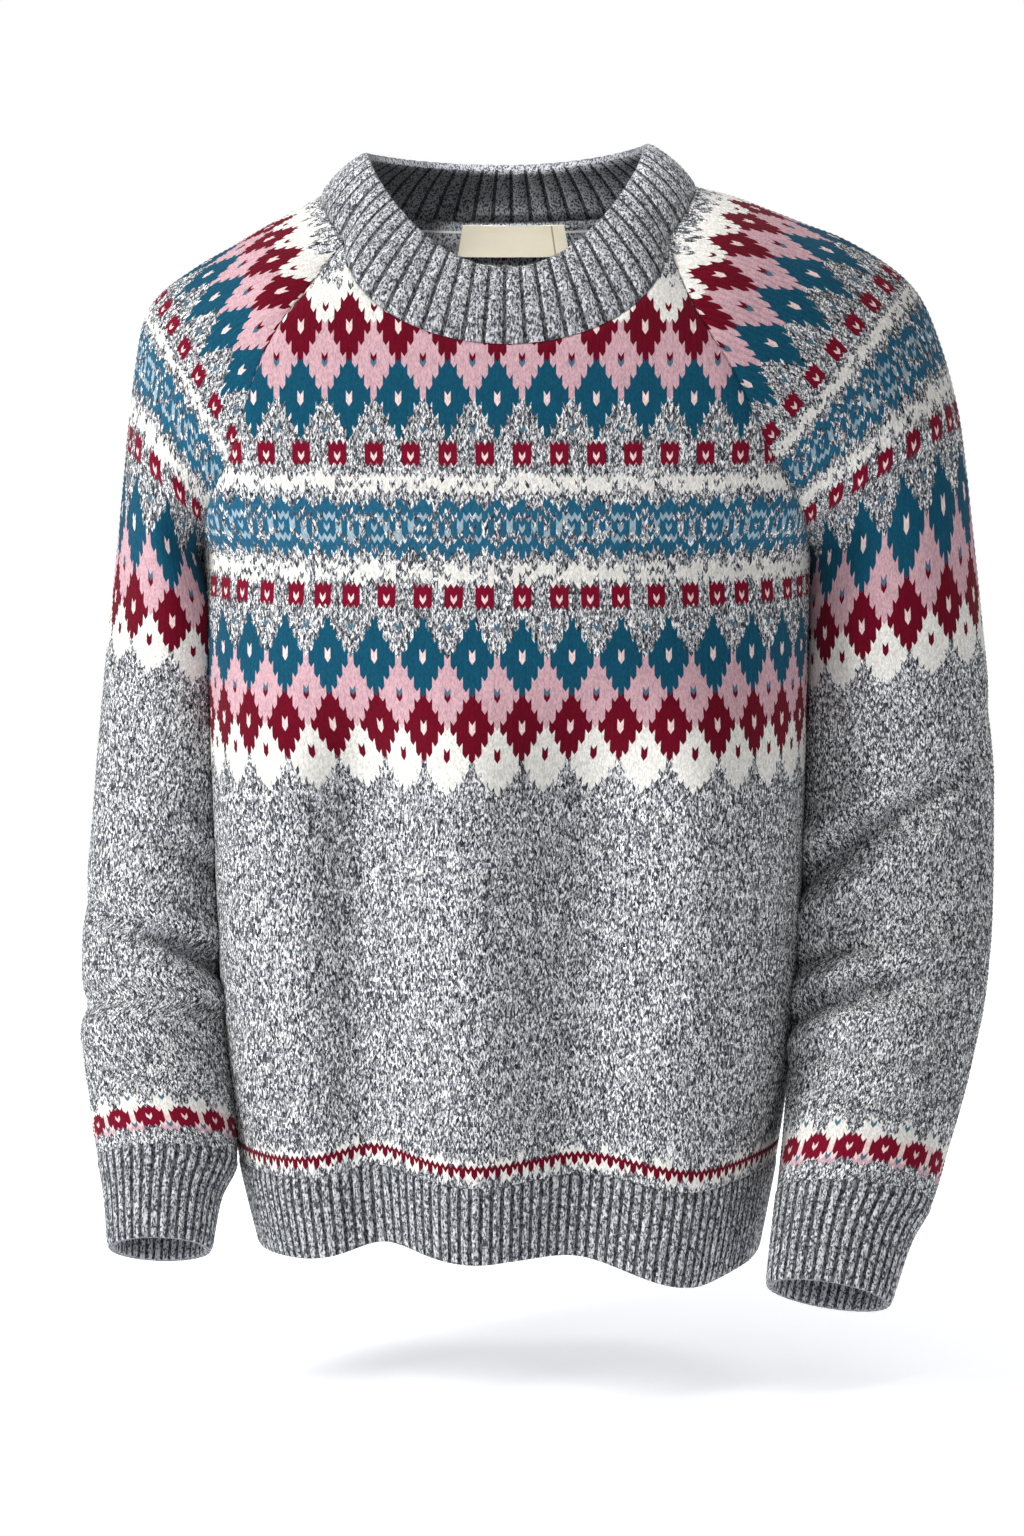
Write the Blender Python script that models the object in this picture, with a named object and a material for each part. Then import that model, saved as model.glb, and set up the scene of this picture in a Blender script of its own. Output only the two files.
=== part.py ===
"""A Fair Isle raglan pullover, filled out with no wearer, as thin closed walls of cloth.

The origin is at the middle of the shoulder line. +X is the wearer's left, -Y the front, +Z up.
Every outer surface comes from the short tables below, in metres.
"""

import bpy
import numpy as np

WALL = 0.003  # thickness of the knitted fabric
BAND_WALL = 0.0034  # thickness of the folded neckband
SEAM_GAP = 0.0003  # between two pieces that are sewn together
RIB_RISE = 0.0013  # height of a rib above the valley beside it
ARM_GAP = 0.0026  # least distance between a sleeve and the side of the body

FRONT_COLUMNS, BACK_COLUMNS, SLEEVE_COLUMNS = 32, 18, 18
RAGLAN_ROWS, BODY_ROWS, ARM_ROWS = 12, 10, 16
HEM_RIBS, NECK_RIBS, CUFF_RIBS = 150, 64, 36

# Front panel by height. Down to the underarm the sides are the raglan seams, then the side seams.
FRONT = np.array([
    # z, left side x, right side x, side y, middle y, roundness
    (-0.0260, 0.0895, 0.0903, -0.066, -0.0960, 1.3),
    (-0.0504, 0.0985, 0.1090, -0.088, -0.1080, 1.3),
    (-0.0690, 0.1080, 0.1240, -0.098, -0.1130, 1.3),
    (-0.0940, 0.1235, 0.1370, -0.101, -0.1170, 1.4),
    (-0.1140, 0.1335, 0.1440, -0.100, -0.1195, 1.5),
    (-0.1350, 0.1430, 0.1505, -0.095, -0.1215, 1.7),
    (-0.1490, 0.1510, 0.1560, -0.087, -0.1230, 1.8),
    (-0.1640, 0.1605, 0.1635, -0.073, -0.1240, 2.0),
    (-0.1820, 0.1675, 0.1700, -0.050, -0.1250, 2.1),
    (-0.2060, 0.1745, 0.1745, 0.0020, -0.1260, 2.2),
    (-0.2500, 0.1738, 0.1735, 0.0030, -0.1265, 2.3),
    (-0.3500, 0.1720, 0.1700, 0.0040, -0.1210, 2.3),
    (-0.4500, 0.1690, 0.1665, 0.0050, -0.1170, 2.3),
    (-0.5000, 0.1650, 0.1630, 0.0050, -0.1170, 2.3),
    (-0.5300, 0.1610, 0.1600, 0.0050, -0.1180, 2.3),
    (-0.5560, 0.1570, 0.1560, 0.0050, -0.1180, 2.3),
    (-0.6200, 0.1450, 0.1410, 0.0050, -0.1150, 2.3),
])

# Back panel by height, to the same plan.
BACK = np.array([
    # z, left side x, right side x, side y, middle y, roundness
    (-0.0060, 0.0940, 0.0940, 0.056, 0.0820, 1.3),
    (-0.0300, 0.1060, 0.1085, 0.074, 0.0920, 1.3),
    (-0.0550, 0.1190, 0.1230, 0.086, 0.0985, 1.3),
    (-0.0850, 0.1320, 0.1360, 0.092, 0.1045, 1.4),
    (-0.1120, 0.1420, 0.1445, 0.093, 0.1075, 1.5),
    (-0.1370, 0.1500, 0.1515, 0.089, 0.1095, 1.7),
    (-0.1580, 0.1570, 0.1580, 0.080, 0.1105, 1.8),
    (-0.1760, 0.1635, 0.1640, 0.066, 0.1110, 2.0),
    (-0.1920, 0.1695, 0.1700, 0.044, 0.1110, 2.1),
    (-0.2060, 0.1745, 0.1745, 0.0020, 0.1110, 2.2),
    (-0.2500, 0.1738, 0.1735, 0.0030, 0.1080, 2.3),
    (-0.3500, 0.1720, 0.1700, 0.0040, 0.1010, 2.3),
    (-0.4500, 0.1690, 0.1665, 0.0050, 0.1060, 2.3),
    (-0.5000, 0.1650, 0.1630, 0.0050, 0.1110, 2.3),
    (-0.5300, 0.1610, 0.1600, 0.0050, 0.1120, 2.3),
    (-0.5560, 0.1570, 0.1560, 0.0050, 0.1110, 2.3),
    (-0.6200, 0.1450, 0.1410, 0.0050, 0.1060, 2.3),
])

# Vertical folds of the lower body. Depth and lift are at the hem seam.
FRONT_FOLDS = np.array([
    # place across the front (-1 right side, 1 left side), half-width, depth forward, lift
    (-0.80, 0.20, 0.0080, -0.0020),
    (-0.47, 0.15, -0.0150, 0.0060),
    (-0.12, 0.18, 0.0090, -0.0020),
    (0.26, 0.17, -0.0110, 0.0030),
    (0.68, 0.22, 0.0130, -0.0070),
])
BACK_FOLDS = np.array([
    (-0.55, 0.20, 0.0070, 0.0),
    (-0.05, 0.22, -0.0080, 0.0),
    (0.45, 0.20, 0.0080, 0.0),
])

# Sleeve cap: the outermost point of each knitted row, from the neck to the underarm, and the
# share of a half turn that the row covers on each side of it.
LEFT_CREST = np.array([
    # x, z, share
    (0.1075, 0.0030, 0.41), (0.1280, -0.0015, 0.42), (0.1460, -0.0075, 0.43),
    (0.1700, -0.0165, 0.44), (0.1940, -0.0258, 0.455), (0.2200, -0.0415, 0.48),
    (0.2365, -0.0585, 0.53), (0.2490, -0.0880, 0.62), (0.2590, -0.1250, 0.76),
    (0.2645, -0.1600, 1.0),
])
RIGHT_CREST = np.array([
    (0.1055, -0.0020, 0.41), (0.1210, -0.0100, 0.42), (0.1390, -0.0190, 0.43),
    (0.1570, -0.0295, 0.44), (0.1770, -0.0410, 0.455), (0.1970, -0.0555, 0.48),
    (0.2070, -0.0710, 0.53), (0.2125, -0.1000, 0.62), (0.2170, -0.1380, 0.76),
    (0.2210, -0.1720, 1.0),
])

# Sleeve below the underarm, down to the cuff seam, then the cuff. The last two rows are cuff.
LEFT_ARM = np.array([
    # outer x, outer z, inner x, inner z, middle y, half depth, forward tilt in degrees
    (0.2645, -0.1600, 0.1745, -0.2060, 0.002, 0.0600, 0),
    (0.2710, -0.2140, 0.1765, -0.2420, 0.004, 0.0575, 0),
    (0.2765, -0.2620, 0.1775, -0.2820, 0.006, 0.0555, 0),
    (0.2805, -0.3080, 0.1780, -0.3220, 0.007, 0.0535, 0),
    (0.2825, -0.3500, 0.1770, -0.3590, 0.005, 0.0520, 3),
    (0.2820, -0.3950, 0.1745, -0.3980, -0.003, 0.0510, 8),
    (0.2795, -0.4350, 0.1720, -0.4340, -0.016, 0.0500, 14),
    (0.2735, -0.4720, 0.1690, -0.4680, -0.031, 0.0480, 19),
    (0.2640, -0.5070, 0.1635, -0.5010, -0.046, 0.0460, 22),
    (0.2530, -0.5400, 0.1585, -0.5320, -0.060, 0.0440, 23),
    (0.2420, -0.5710, 0.1545, -0.5630, -0.074, 0.0390, 25),
    (0.2290, -0.5920, 0.1515, -0.5830, -0.084, 0.0320, 26),
    (0.2165, -0.6250, 0.1475, -0.6130, -0.098, 0.0300, 27),
])
RIGHT_ARM = np.array([
    (0.2210, -0.1720, 0.1745, -0.2060, 0.002, 0.0610, 0),
    (0.2265, -0.2170, 0.1600, -0.2430, 0.012, 0.0600, 0),
    (0.2325, -0.2620, 0.1560, -0.2800, 0.021, 0.0590, 0),
    (0.2375, -0.3080, 0.1550, -0.3220, 0.026, 0.0580, 0),
    (0.2415, -0.3520, 0.1560, -0.3620, 0.026, 0.0560, 2),
    (0.2450, -0.3960, 0.1580, -0.4020, 0.020, 0.0540, 6),
    (0.2475, -0.4320, 0.1600, -0.4360, 0.010, 0.0520, 12),
    (0.2470, -0.4660, 0.1600, -0.4690, -0.003, 0.0500, 17),
    (0.2450, -0.4980, 0.1590, -0.4990, -0.016, 0.0475, 20),
    (0.2405, -0.5260, 0.1570, -0.5260, -0.029, 0.0450, 22),
    (0.2350, -0.5520, 0.1560, -0.5510, -0.042, 0.0390, 24),
    (0.2305, -0.5720, 0.1650, -0.5720, -0.053, 0.0320, 25),
    (0.2275, -0.5990, 0.1700, -0.6000, -0.066, 0.0290, 26),
])

# Creases pressed into the sleeves at the elbow and above the cuff.
LEFT_CREASES = np.array([
    # row, turn from the outermost point (negative in front), half-height, half-width, depth
    (13.4, -2.30, 0.30, 0.75, 0.0050),
    (14.6, -2.05, 0.32, 0.80, 0.0045),
    (16.0, -1.10, 0.35, 0.80, 0.0035),
    (17.6, -1.80, 0.30, 0.90, 0.0040),
])
RIGHT_CREASES = np.array([
    (13.8, -1.60, 0.35, 0.90, 0.0040),
    (15.4, -1.30, 0.35, 0.90, 0.0040),
    (17.3, -1.20, 0.30, 0.90, 0.0035),
])

# Rim of the neckband: half-width at the sides, and depth and height round it.
RIM_X, RIM_FRONT_Y, RIM_BACK_Y = 0.0790, -0.0980, 0.0600
RIM_FRONT_Z, RIM_LEFT_Z, RIM_RIGHT_Z, RIM_BACK_Z = -0.0405, 0.0285, 0.0235, 0.0180
FRONT_NECK_Z, BACK_NECK_Z = -0.0820, -0.0130

# Plain strip and label inside the back neck.
TAPE_X, TAPE_TOP, TAPE_HEIGHT, TAPE_WALL = 0.0640, 0.0030, 0.0110, 0.0010
LABEL_MIDDLE_X, LABEL_WIDTH, LABEL_TOP, LABEL_HEIGHT = 0.004, 0.060, 0.0020, 0.0190
LABEL_WALL = 0.0007


def curve(known, values, at):
    """Values on a smooth curve through a table that doesn't overshoot between its rows."""
    known, values, at = (np.asarray(v, float) for v in (known, values, at))
    if known[0] > known[-1]:
        known, values = known[::-1], values[::-1]
    step = np.diff(known)
    rise = np.diff(values) / step
    slope = np.concatenate([rise[:1], (rise[:-1] + rise[1:]) / 2, rise[-1:]])
    slope[1:-1] = np.where(rise[:-1] * rise[1:] > 0, slope[1:-1], 0)
    limit = 3 * np.minimum(np.abs(np.append(rise, rise[-1])), np.abs(np.append(rise[0], rise)))
    slope = np.clip(slope, -limit, limit)
    i = np.clip(np.searchsorted(known, at) - 1, 0, len(step) - 1)
    t = np.clip((at - known[i]) / step[i], 0, 1)
    return (
        (2 * t**3 - 3 * t**2 + 1) * values[i] + (t**3 - 2 * t**2 + t) * step[i] * slope[i]
        + (3 * t**2 - 2 * t**3) * values[i + 1] + (t**3 - t**2) * step[i] * slope[i + 1]
    )


def panel_numbers(table, z):
    """Left x, right x, side y, middle y and roundness of a panel. The side seams are shared."""
    found = [curve(table[:, 0], table[:, k], z) for k in range(1, 6)]
    seams = [curve(FRONT[9:, 0], FRONT[9:, k], z) for k in range(1, 4)]
    below = np.asarray(z) < FRONT[9, 0]
    return [np.where(below, seam, own) for seam, own in zip(seams, found)] + found[3:]


def body_point(table, folds, facing, turn, z):
    """Points of a body panel. turn goes from -1 at the right side to 1 at the left side."""
    turn, z = np.broadcast_arrays(np.asarray(turn, float), np.asarray(z, float))
    left, right, side_y, middle_y, power = panel_numbers(table, z)
    angle = turn * np.pi / 2
    across = np.sign(turn) * np.abs(np.sin(angle)) ** (2 / np.maximum(power, 1.9))
    round_in = np.clip(np.cos(angle), 0, 1) ** (2 / power)
    x = across * np.where(turn > 0, left, right)
    y = side_y + (middle_y - side_y) * round_in
    strength = np.clip((-0.30 - z) / 0.25, 0, 1) ** 1.5
    lift_share = strength * np.clip(1.6 + (z + 0.556) / 0.09, 0.55, 1)
    fade = np.clip(np.cos(angle) / 0.35, 0, 1)
    z = z + 0.0
    for place, width, depth, lift in folds:
        bump = np.exp(-(((across - place) / width) ** 2))
        y = y + facing * depth * bump * strength * fade
        z = z + lift * bump * lift_share * fade
    return np.stack([x, y, z], -1)


def front_point(turn, z):
    return body_point(FRONT, FRONT_FOLDS, -1, turn, z)


def back_point(turn, z):
    return body_point(BACK, BACK_FOLDS, 1, turn, z)


def body_half_width(side, y, z):
    """How far out the side of the body is at this depth and height, without its folds."""
    both = zip(panel_numbers(FRONT, z), panel_numbers(BACK, z))
    left, right, side_y, middle_y, power = (np.where(y < 0, f, b) for f, b in both)
    wide = left if side > 0 else right
    share = np.clip((y - side_y) / (middle_y - side_y), 0, 1)
    return wide * (1 - share**power) ** (1 / power)


def front_neck_z(turn):
    """Height of the front neckline: an ellipse from one raglan seam to the other."""
    turn = np.asarray(turn, float)
    low, high = np.full(turn.shape, FRONT_NECK_Z), np.full(turn.shape, FRONT[0, 0])
    for _ in range(40):
        z = (low + high) / 2
        out = np.abs(front_point(turn, z)[..., 0]) / np.where(turn > 0, FRONT[0, 1], FRONT[0, 2])
        goal = FRONT[0, 0] + (FRONT_NECK_Z - FRONT[0, 0]) * np.sqrt(np.clip(1 - out**2, 0, 1))
        low, high = np.where(z < goal, z, low), np.where(z < goal, high, z)
    return np.where(np.abs(turn) > 0.9999, FRONT[0, 0], z)


def back_neck_z(turn):
    return BACK[0, 0] + (BACK_NECK_Z - BACK[0, 0]) * np.cos(np.asarray(turn) * np.pi / 2) ** 1.5


def hem_seam_z(turn, facing):
    """Height of the seam above the hem rib: lower at the sides than in the middle."""
    return -0.5570 + (0.0070 if facing < 0 else 0.0040) * np.cos(np.asarray(turn) * np.pi / 2) ** 0.7


def hem_edge_z(turn, facing):
    turn = np.asarray(turn, float)
    rise = 0.0170 - 0.0130 * np.clip(turn / 0.5, 0, 1) if facing < 0 else 0.0110
    return -0.6110 + rise * np.cos(turn * np.pi / 2) ** 0.7


def sleeve_point(side, row, turn):
    """Points of a sleeve. Rows 0 to 9 are the cap, 9 to 19 the arm and 19 to 21 the cuff.

    turn goes from -1 at the front seam or underarm, over the outermost point, to 1 at the back.
    """
    row, turn = np.broadcast_arrays(np.asarray(row, float), np.asarray(turn, float))
    crest = LEFT_CREST if side > 0 else RIGHT_CREST
    arm = LEFT_ARM if side > 0 else RIGHT_ARM
    column = 1 if side > 0 else 2
    cap, down = np.clip(row, 0, 9), np.clip(row, 9, 21)
    numbers = np.arange(10)
    seams = []
    for table in (FRONT, BACK):
        z = curve(numbers, table[:10, 0], cap)
        x, y = (curve(table[:, 0], table[:, k], z) for k in (column, 3))
        seams.append(np.stack([side * x, y, z], -1))
    front, back = seams
    top_x, top_z, share = (curve(numbers, crest[:, k], cap) for k in range(3))
    reach = share * np.pi
    middle = (front + back) / 2
    top = np.stack([side * top_x, middle[..., 1], top_z], -1)
    length = np.linalg.norm(top - middle, axis=-1)
    out = (top - middle) / length[..., None]
    wide = length / (1 - np.cos(reach))
    apart = np.linalg.norm(back - front, axis=-1)
    arm_numbers = np.arange(9, 22)
    half_depth = curve(arm_numbers, arm[:, 5], down)
    open_arc = reach < 0.999 * np.pi
    deep = np.where(open_arc, apart / (2 * np.maximum(np.sin(reach), 1e-4)), half_depth)
    straight_back = np.array([0.0, 1.0, 0.0])
    across = (back - front) / np.maximum(apart, 1e-9)[..., None]
    depth_way = np.where(apart[..., None] > 1e-6, across, straight_back)
    centre = top - wide[..., None] * out
    ox, oz, ix, iz, my, _, tilt = (curve(arm_numbers, arm[:, k], down) for k in range(7))
    outer, inner = np.stack([side * ox, my, oz], -1), np.stack([side * ix, my, iz], -1)
    lean = np.radians(tilt)
    is_arm = (row > 9)[..., None]
    centre = np.where(is_arm, (outer + inner) / 2, centre)
    arm_wide = np.linalg.norm(outer - inner, axis=-1) / 2
    out = np.where(is_arm, (outer - inner) / (2 * arm_wide[..., None]), out)
    depth_way = np.where(is_arm, np.stack([0 * lean, np.cos(lean), -np.sin(lean)], -1), depth_way)
    wide, deep = np.where(row > 9, arm_wide, wide), np.where(row > 9, half_depth, deep)
    reach = np.where(row > 9, np.pi, reach)
    angle = turn * reach
    for at, place, high, broad, depth in LEFT_CREASES if side > 0 else RIGHT_CREASES:
        off = (angle - place + np.pi) % (2 * np.pi) - np.pi
        press = depth * np.exp(-(((row - at - 0.35 * off) / high) ** 2) - (off / broad) ** 2)
        wide, deep = wide - press, deep - press
    points = centre + (wide * np.cos(angle))[..., None] * out
    points += (deep * np.sin(angle))[..., None] * depth_way
    room = ARM_GAP * np.clip((row - 9) / 1.0, 0, 1)
    limit = body_half_width(side, points[..., 1], points[..., 2]) + room
    blend = np.clip((row - 9) / 0.6, 0, 1) * np.clip((19.5 - row) / 1.5, 0, 1)
    pushed = np.maximum(side * points[..., 0], limit)
    points[..., 0] = side * (side * points[..., 0] * (1 - blend) + pushed * blend)
    return points


def unit(vectors):
    return vectors / np.maximum(np.linalg.norm(vectors, axis=-1, keepdims=True), 1e-12)


def normals_of(points, quads):
    """Outward normals at the points of a surface of four-sided faces."""
    corners = points[quads]
    face = np.cross(corners[:, 2] - corners[:, 0], corners[:, 3] - corners[:, 1])
    found = np.zeros_like(points)
    for k in range(4):
        np.add.at(found, quads[:, k], face)
    return unit(found)


def open_edges(quads):
    """Directed edges that belong to one face only."""
    edges = [(int(q[k]), int(q[(k + 1) % 4])) for q in quads for k in range(4)]
    both = set(edges)
    return [e for e in edges if (e[1], e[0]) not in both]


def grid_quads(index):
    """Faces between the rows of an array of point numbers."""
    a, b, c, d = index[:-1, :-1], index[:-1, 1:], index[1:, 1:], index[1:, :-1]
    return np.stack([a, b, c, d], -1).reshape(-1, 4)


def place_key(point):
    return tuple(np.round(point * 1e5).astype(int))


def make_object(name, points, faces, colour):
    """One object with a material of its own."""
    faces = [tuple(dict.fromkeys(int(i) for i in face)) for face in faces]
    corners = [points[list(f)] for f in faces]
    volume = sum(
        np.dot(c[0], np.cross(c[k], c[k + 1])) for c in corners for k in range(1, len(c) - 1)
    )
    if volume < 0:
        faces = [f[::-1] for f in faces]
    mesh = bpy.data.meshes.new(name)
    mesh.from_pydata([tuple(p) for p in points], [], faces)
    mesh.update()
    obj = bpy.data.objects.new(name, mesh)
    bpy.context.scene.collection.objects.link(obj)
    material = bpy.data.materials.new(name)
    material.use_nodes = True
    shader = material.node_tree.nodes["Principled BSDF"]
    shader.inputs["Base Color"].default_value = (*colour, 1)
    shader.inputs["Roughness"].default_value = 0.9
    mesh.materials.append(material)
    return obj


def add_wall(name, points, quads, directions, colour, sewn):
    """A surface made into a wall: the inside is set in along the directions, and edges are closed.

    Points in sewn are moved half of the seam gap back from the edge that they lie on.
    """
    edges = open_edges(quads)
    back_off = {}
    for a, b in edges:
        middle_way = unit(directions[a] + directions[b])
        inward = unit(np.cross(middle_way, points[b] - points[a]))
        if place_key(points[a]) in sewn and place_key(points[b]) in sewn:
            for i in (a, b):
                back_off.setdefault(i, []).append(inward)
    moved = points.copy()
    for i, ways in back_off.items():
        total = sum(ways)
        share = len(ways) / max(np.dot(total, total) / len(ways), 0.5)
        moved[i] += total * share / len(ways) * SEAM_GAP / 2
    count = len(points)
    both = np.concatenate([moved, moved - directions * WALL])
    faces = [tuple(q) for q in quads] + [tuple(q[::-1] + count) for q in quads]
    faces += [(b, a, a + count, b + count) for a, b in edges]
    return make_object(name, both, faces, colour)


def add_band(name, outer, inner, colour):
    """A closed ring from rows of points: its outside, then its inside, both from the seam on."""
    rows = np.concatenate([outer, inner[::-1]])
    count, around = rows.shape[:2]
    index = np.arange(count * around).reshape(count, around)
    index = np.concatenate([index, index[:, :1]], 1)
    index = np.concatenate([index, index[:1]], 0)
    return make_object(name, rows.reshape(-1, 3), [tuple(q) for q in grid_quads(index)], colour)


def along(points, extra, at):
    """Points, and what goes with them, at even or given places along the lines that join them."""
    steps = np.linalg.norm(np.diff(points, axis=0), axis=1)
    places = np.concatenate([[0], np.cumsum(steps)]) / steps.sum()
    both = np.concatenate([points, extra], 1)
    found = np.stack([np.interp(at, places, both[:, k]) for k in range(both.shape[1])], 1)
    return found[:, :3], unit(found[:, 3:])


def seam_start(ring, ways, at, toward):
    """The row of a band that lies on a seam, set half of the seam gap toward the band."""
    closed = np.concatenate([ring, ring[:1]])
    points, ways = along(closed, np.concatenate([ways, ways[:1]]), at)
    tangent = np.roll(points, -1, 0) - np.roll(points, 1, 0)
    away = unit(np.cross(ways, tangent))
    away *= np.sign(np.sum(away * (toward - points), -1))[:, None]
    return points + away * SEAM_GAP / 2, ways


def panel_grid(point, neck_z, facing, columns):
    """The points of a body panel and its faces, with rows that share the raglan and side seams."""
    table = FRONT if facing < 0 else BACK
    turns = np.linspace(-1, 1, columns + 1)
    cap = curve(np.arange(10), table[:10, 0], np.linspace(0, 9, RAGLAN_ROWS + 1))
    share = (cap - cap[-1]) / (cap[0] - cap[-1])
    upper = cap[-1] + share[:, None] * (neck_z(turns) - cap[-1])[None]
    down = np.linspace(0, 1, BODY_ROWS + 1)[1:, None]
    lower = cap[-1] + down * (hem_seam_z(turns, facing) - cap[-1])[None]
    z = np.concatenate([upper, lower])
    rows, count = z.shape
    points = point(np.broadcast_to(turns, z.shape), z).reshape(-1, 3)
    index = np.arange(rows * count).reshape(rows, count)
    return points, grid_quads(index[:, ::facing]), index


def sleeve_grid(side):
    """The points of a sleeve and its faces: open arcs in the cap, closed rings in the arm."""
    turns = np.linspace(-1, 1, SLEEVE_COLUMNS + 1)
    arm_rows = np.linspace(9, 19, ARM_ROWS + 1)[1:]
    rows = np.concatenate([np.linspace(0, 9, RAGLAN_ROWS + 1), arm_rows])
    grid = sleeve_point(side, rows[:, None], turns[None])
    index = np.arange(grid[..., 0].size).reshape(grid.shape[:2])
    index[RAGLAN_ROWS:, -1] = index[RAGLAN_ROWS:, 0]
    used, index = np.unique(index, return_inverse=True)
    index = index.reshape(grid.shape[:2])
    points = grid.reshape(-1, 3)[used]
    return points, grid_quads(index[:, ::-side]), index


for old in list(bpy.data.objects):
    bpy.data.objects.remove(old)

GREY, DARK_GREY, CREAM = (0.42, 0.43, 0.45), (0.30, 0.31, 0.33), (0.83, 0.78, 0.65)

# Surfaces of the four large pieces
surfaces = {
    "front": panel_grid(front_point, front_neck_z, -1, FRONT_COLUMNS),
    "back": panel_grid(back_point, back_neck_z, 1, BACK_COLUMNS),
    "sleeve_left": sleeve_grid(1),
    "sleeve_right": sleeve_grid(-1),
}
front, back, left, right = surfaces.values()

# The neck seam, from the middle of the front round by the left sleeve and the back
half = FRONT_COLUMNS // 2
neck_ring = np.concatenate([
    front[0][front[2][0, half:]], left[0][left[2][0, 1:]], back[0][back[2][0, ::-1]][1:],
    right[0][right[2][0, ::-1]][1:], front[0][front[2][0, 1:half]],
])
side_places = np.linalg.norm(np.diff(np.concatenate([neck_ring, neck_ring[:1]]), axis=0), axis=1)
neck_places = np.concatenate([[0], np.cumsum(side_places)[:-1]]) / side_places.sum()


def rim_point(place):
    """The top edge of the neckband, at this share of the way round from the middle of the front."""
    angle = 2 * np.pi * np.asarray(place)
    x = RIM_X * np.sin(angle)
    forward = (1 + np.cos(angle)) / 2
    y = RIM_BACK_Y + (RIM_FRONT_Y - RIM_BACK_Y) * forward
    side_z = np.where(x > 0, RIM_LEFT_Z, RIM_RIGHT_Z)
    end_z = np.where(np.cos(angle) > 0, RIM_FRONT_Z, RIM_BACK_Z)
    z = side_z + (end_z - side_z) * np.abs(np.cos(angle)) ** 1.7
    return np.stack([x, y, z], -1)


# Where pieces meet, the wall's direction is shared, so that their edges stand parallel
shared = {}
for points, quads, _ in surfaces.values():
    for point, normal in zip(points, normals_of(points, quads)):
        key = place_key(point)
        shared[key] = shared.get(key, 0) + normal
band_base = np.concatenate([neck_ring, rim_point(neck_places)])
around = len(neck_ring)
base_index = np.arange(2 * around).reshape(2, around)
base_index = np.concatenate([base_index, base_index[:, :1]], 1)
band_normals = normals_of(band_base, grid_quads(base_index))[:around]
neck_keys = [place_key(p) for p in neck_ring]
neck_ways = unit(np.array([unit(shared[key]) for key in neck_keys]) + band_normals)
for _ in range(4):
    neck_ways = unit(np.roll(neck_ways, 1, 0) + 2 * neck_ways + np.roll(neck_ways, -1, 0))
shared.update(zip(neck_keys, neck_ways))

# The edges that are sewn: every open edge of the four large pieces
sewn = set()
for points, quads, _ in surfaces.values():
    for a, b in open_edges(quads):
        sewn |= {place_key(points[a]), place_key(points[b])}

for name, (points, quads, _) in surfaces.items():
    ways = unit(np.array([shared[place_key(p)] for p in points]))
    add_wall(name, points, quads, ways, GREY, sewn)


def ribbed_rows(seam, ways, rows, ribs, rise, wall):
    """Outside rows with raised ribs, and the plain inside under them, of a band from its seam."""
    around = seam.shape[0]
    per_rib = around // ribs
    raised = np.tile(np.where(np.arange(per_rib) < max(1, per_rib // 2), 1.0, 0.0), ribs)
    outer, inner = [seam], [seam - ways * wall]
    index = np.arange(2 * around).reshape(2, around)
    index = np.concatenate([index, index[:, :1]], 1)
    for k, (row, share) in enumerate(rows):
        before = rows[k - 1][0] if k else seam
        surface = np.concatenate([before, row])
        normal = normals_of(surface, grid_quads(index))[around:]
        normal *= np.sign(np.sum(normal * ways))
        outer.append(row + normal * (rise * share * raised)[:, None])
        inner.append(row - normal * wall)
    return np.array(outer), np.array(inner)


# Hem rib, from the right side round by the front
hem_turns = np.linspace(-1, 1, HEM_RIBS + 1)[:-1]
hem_seams, hem_ways = [], []
for points, edge in ((front[0], front[2][-1]), (back[0], back[2][-1][::-1])):
    hem_seams.append(points[edge[:-1]])
    hem_ways.append(unit(np.array([shared[place_key(p)] for p in points[edge[:-1]]])))
hem_ring, hem_way = np.concatenate(hem_seams), np.concatenate(hem_ways)
hem_places = np.arange(2 * HEM_RIBS) / (2 * HEM_RIBS)


def hem_level(share):
    """A ring of the hem rib between its seam and its edge."""
    rings = []
    for point, facing, turns in ((front_point, -1, hem_turns), (back_point, 1, -hem_turns)):
        z = hem_seam_z(turns, facing) * (1 - share) + hem_edge_z(turns, facing) * share
        rings.append(point(turns, z))
    ring = np.concatenate(rings)
    return along(np.concatenate([ring, ring[:1]]), np.concatenate([ring, ring[:1]]), hem_places)[0]


seam, ways = seam_start(hem_ring, hem_way, hem_places, hem_level(0.5))
outer, inner = ribbed_rows(
    seam, ways, [(hem_level(share), rise) for share, rise in ((0.14, 1), (0.93, 1), (1.0, 0.3))],
    HEM_RIBS, RIB_RISE, WALL
)
add_band("hem_rib", outer, inner[[0, 3]], DARK_GREY)

# Neckband, with one of its rows of points at each corner where a raglan seam ends
neck_at = np.arange(3 * NECK_RIBS) / (3 * NECK_RIBS)
turns_at = np.cumsum([half, SLEEVE_COLUMNS, BACK_COLUMNS, SLEEVE_COLUMNS])
corners = np.concatenate([[0], neck_places[turns_at], [1]])
neck_at = np.interp(neck_at, np.round(corners * 3 * NECK_RIBS) / (3 * NECK_RIBS), corners)
seam, ways = seam_start(neck_ring, neck_ways, neck_at, rim_point(neck_at))
rim = rim_point(neck_at)
band_way = unit(np.cross(np.roll(seam, -1, 0) - np.roll(seam, 1, 0), rim - seam))
band_way *= np.sign(np.sum(band_way * ways))
levels = [
    (seam + (rim - seam) * t + band_way * 0.0030 * 4 * t * (1 - t), share)
    for t, share in ((0.12, 1), (0.5, 1), (0.92, 1), (1.0, 0.2))
]
outer, inner = ribbed_rows(seam, ways, levels, NECK_RIBS, RIB_RISE, BAND_WALL)
inner[-1] += (inner[-2] - inner[-1]) * 0.15
add_band("neckband", outer, inner[[0, 2, 4]], DARK_GREY)

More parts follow.
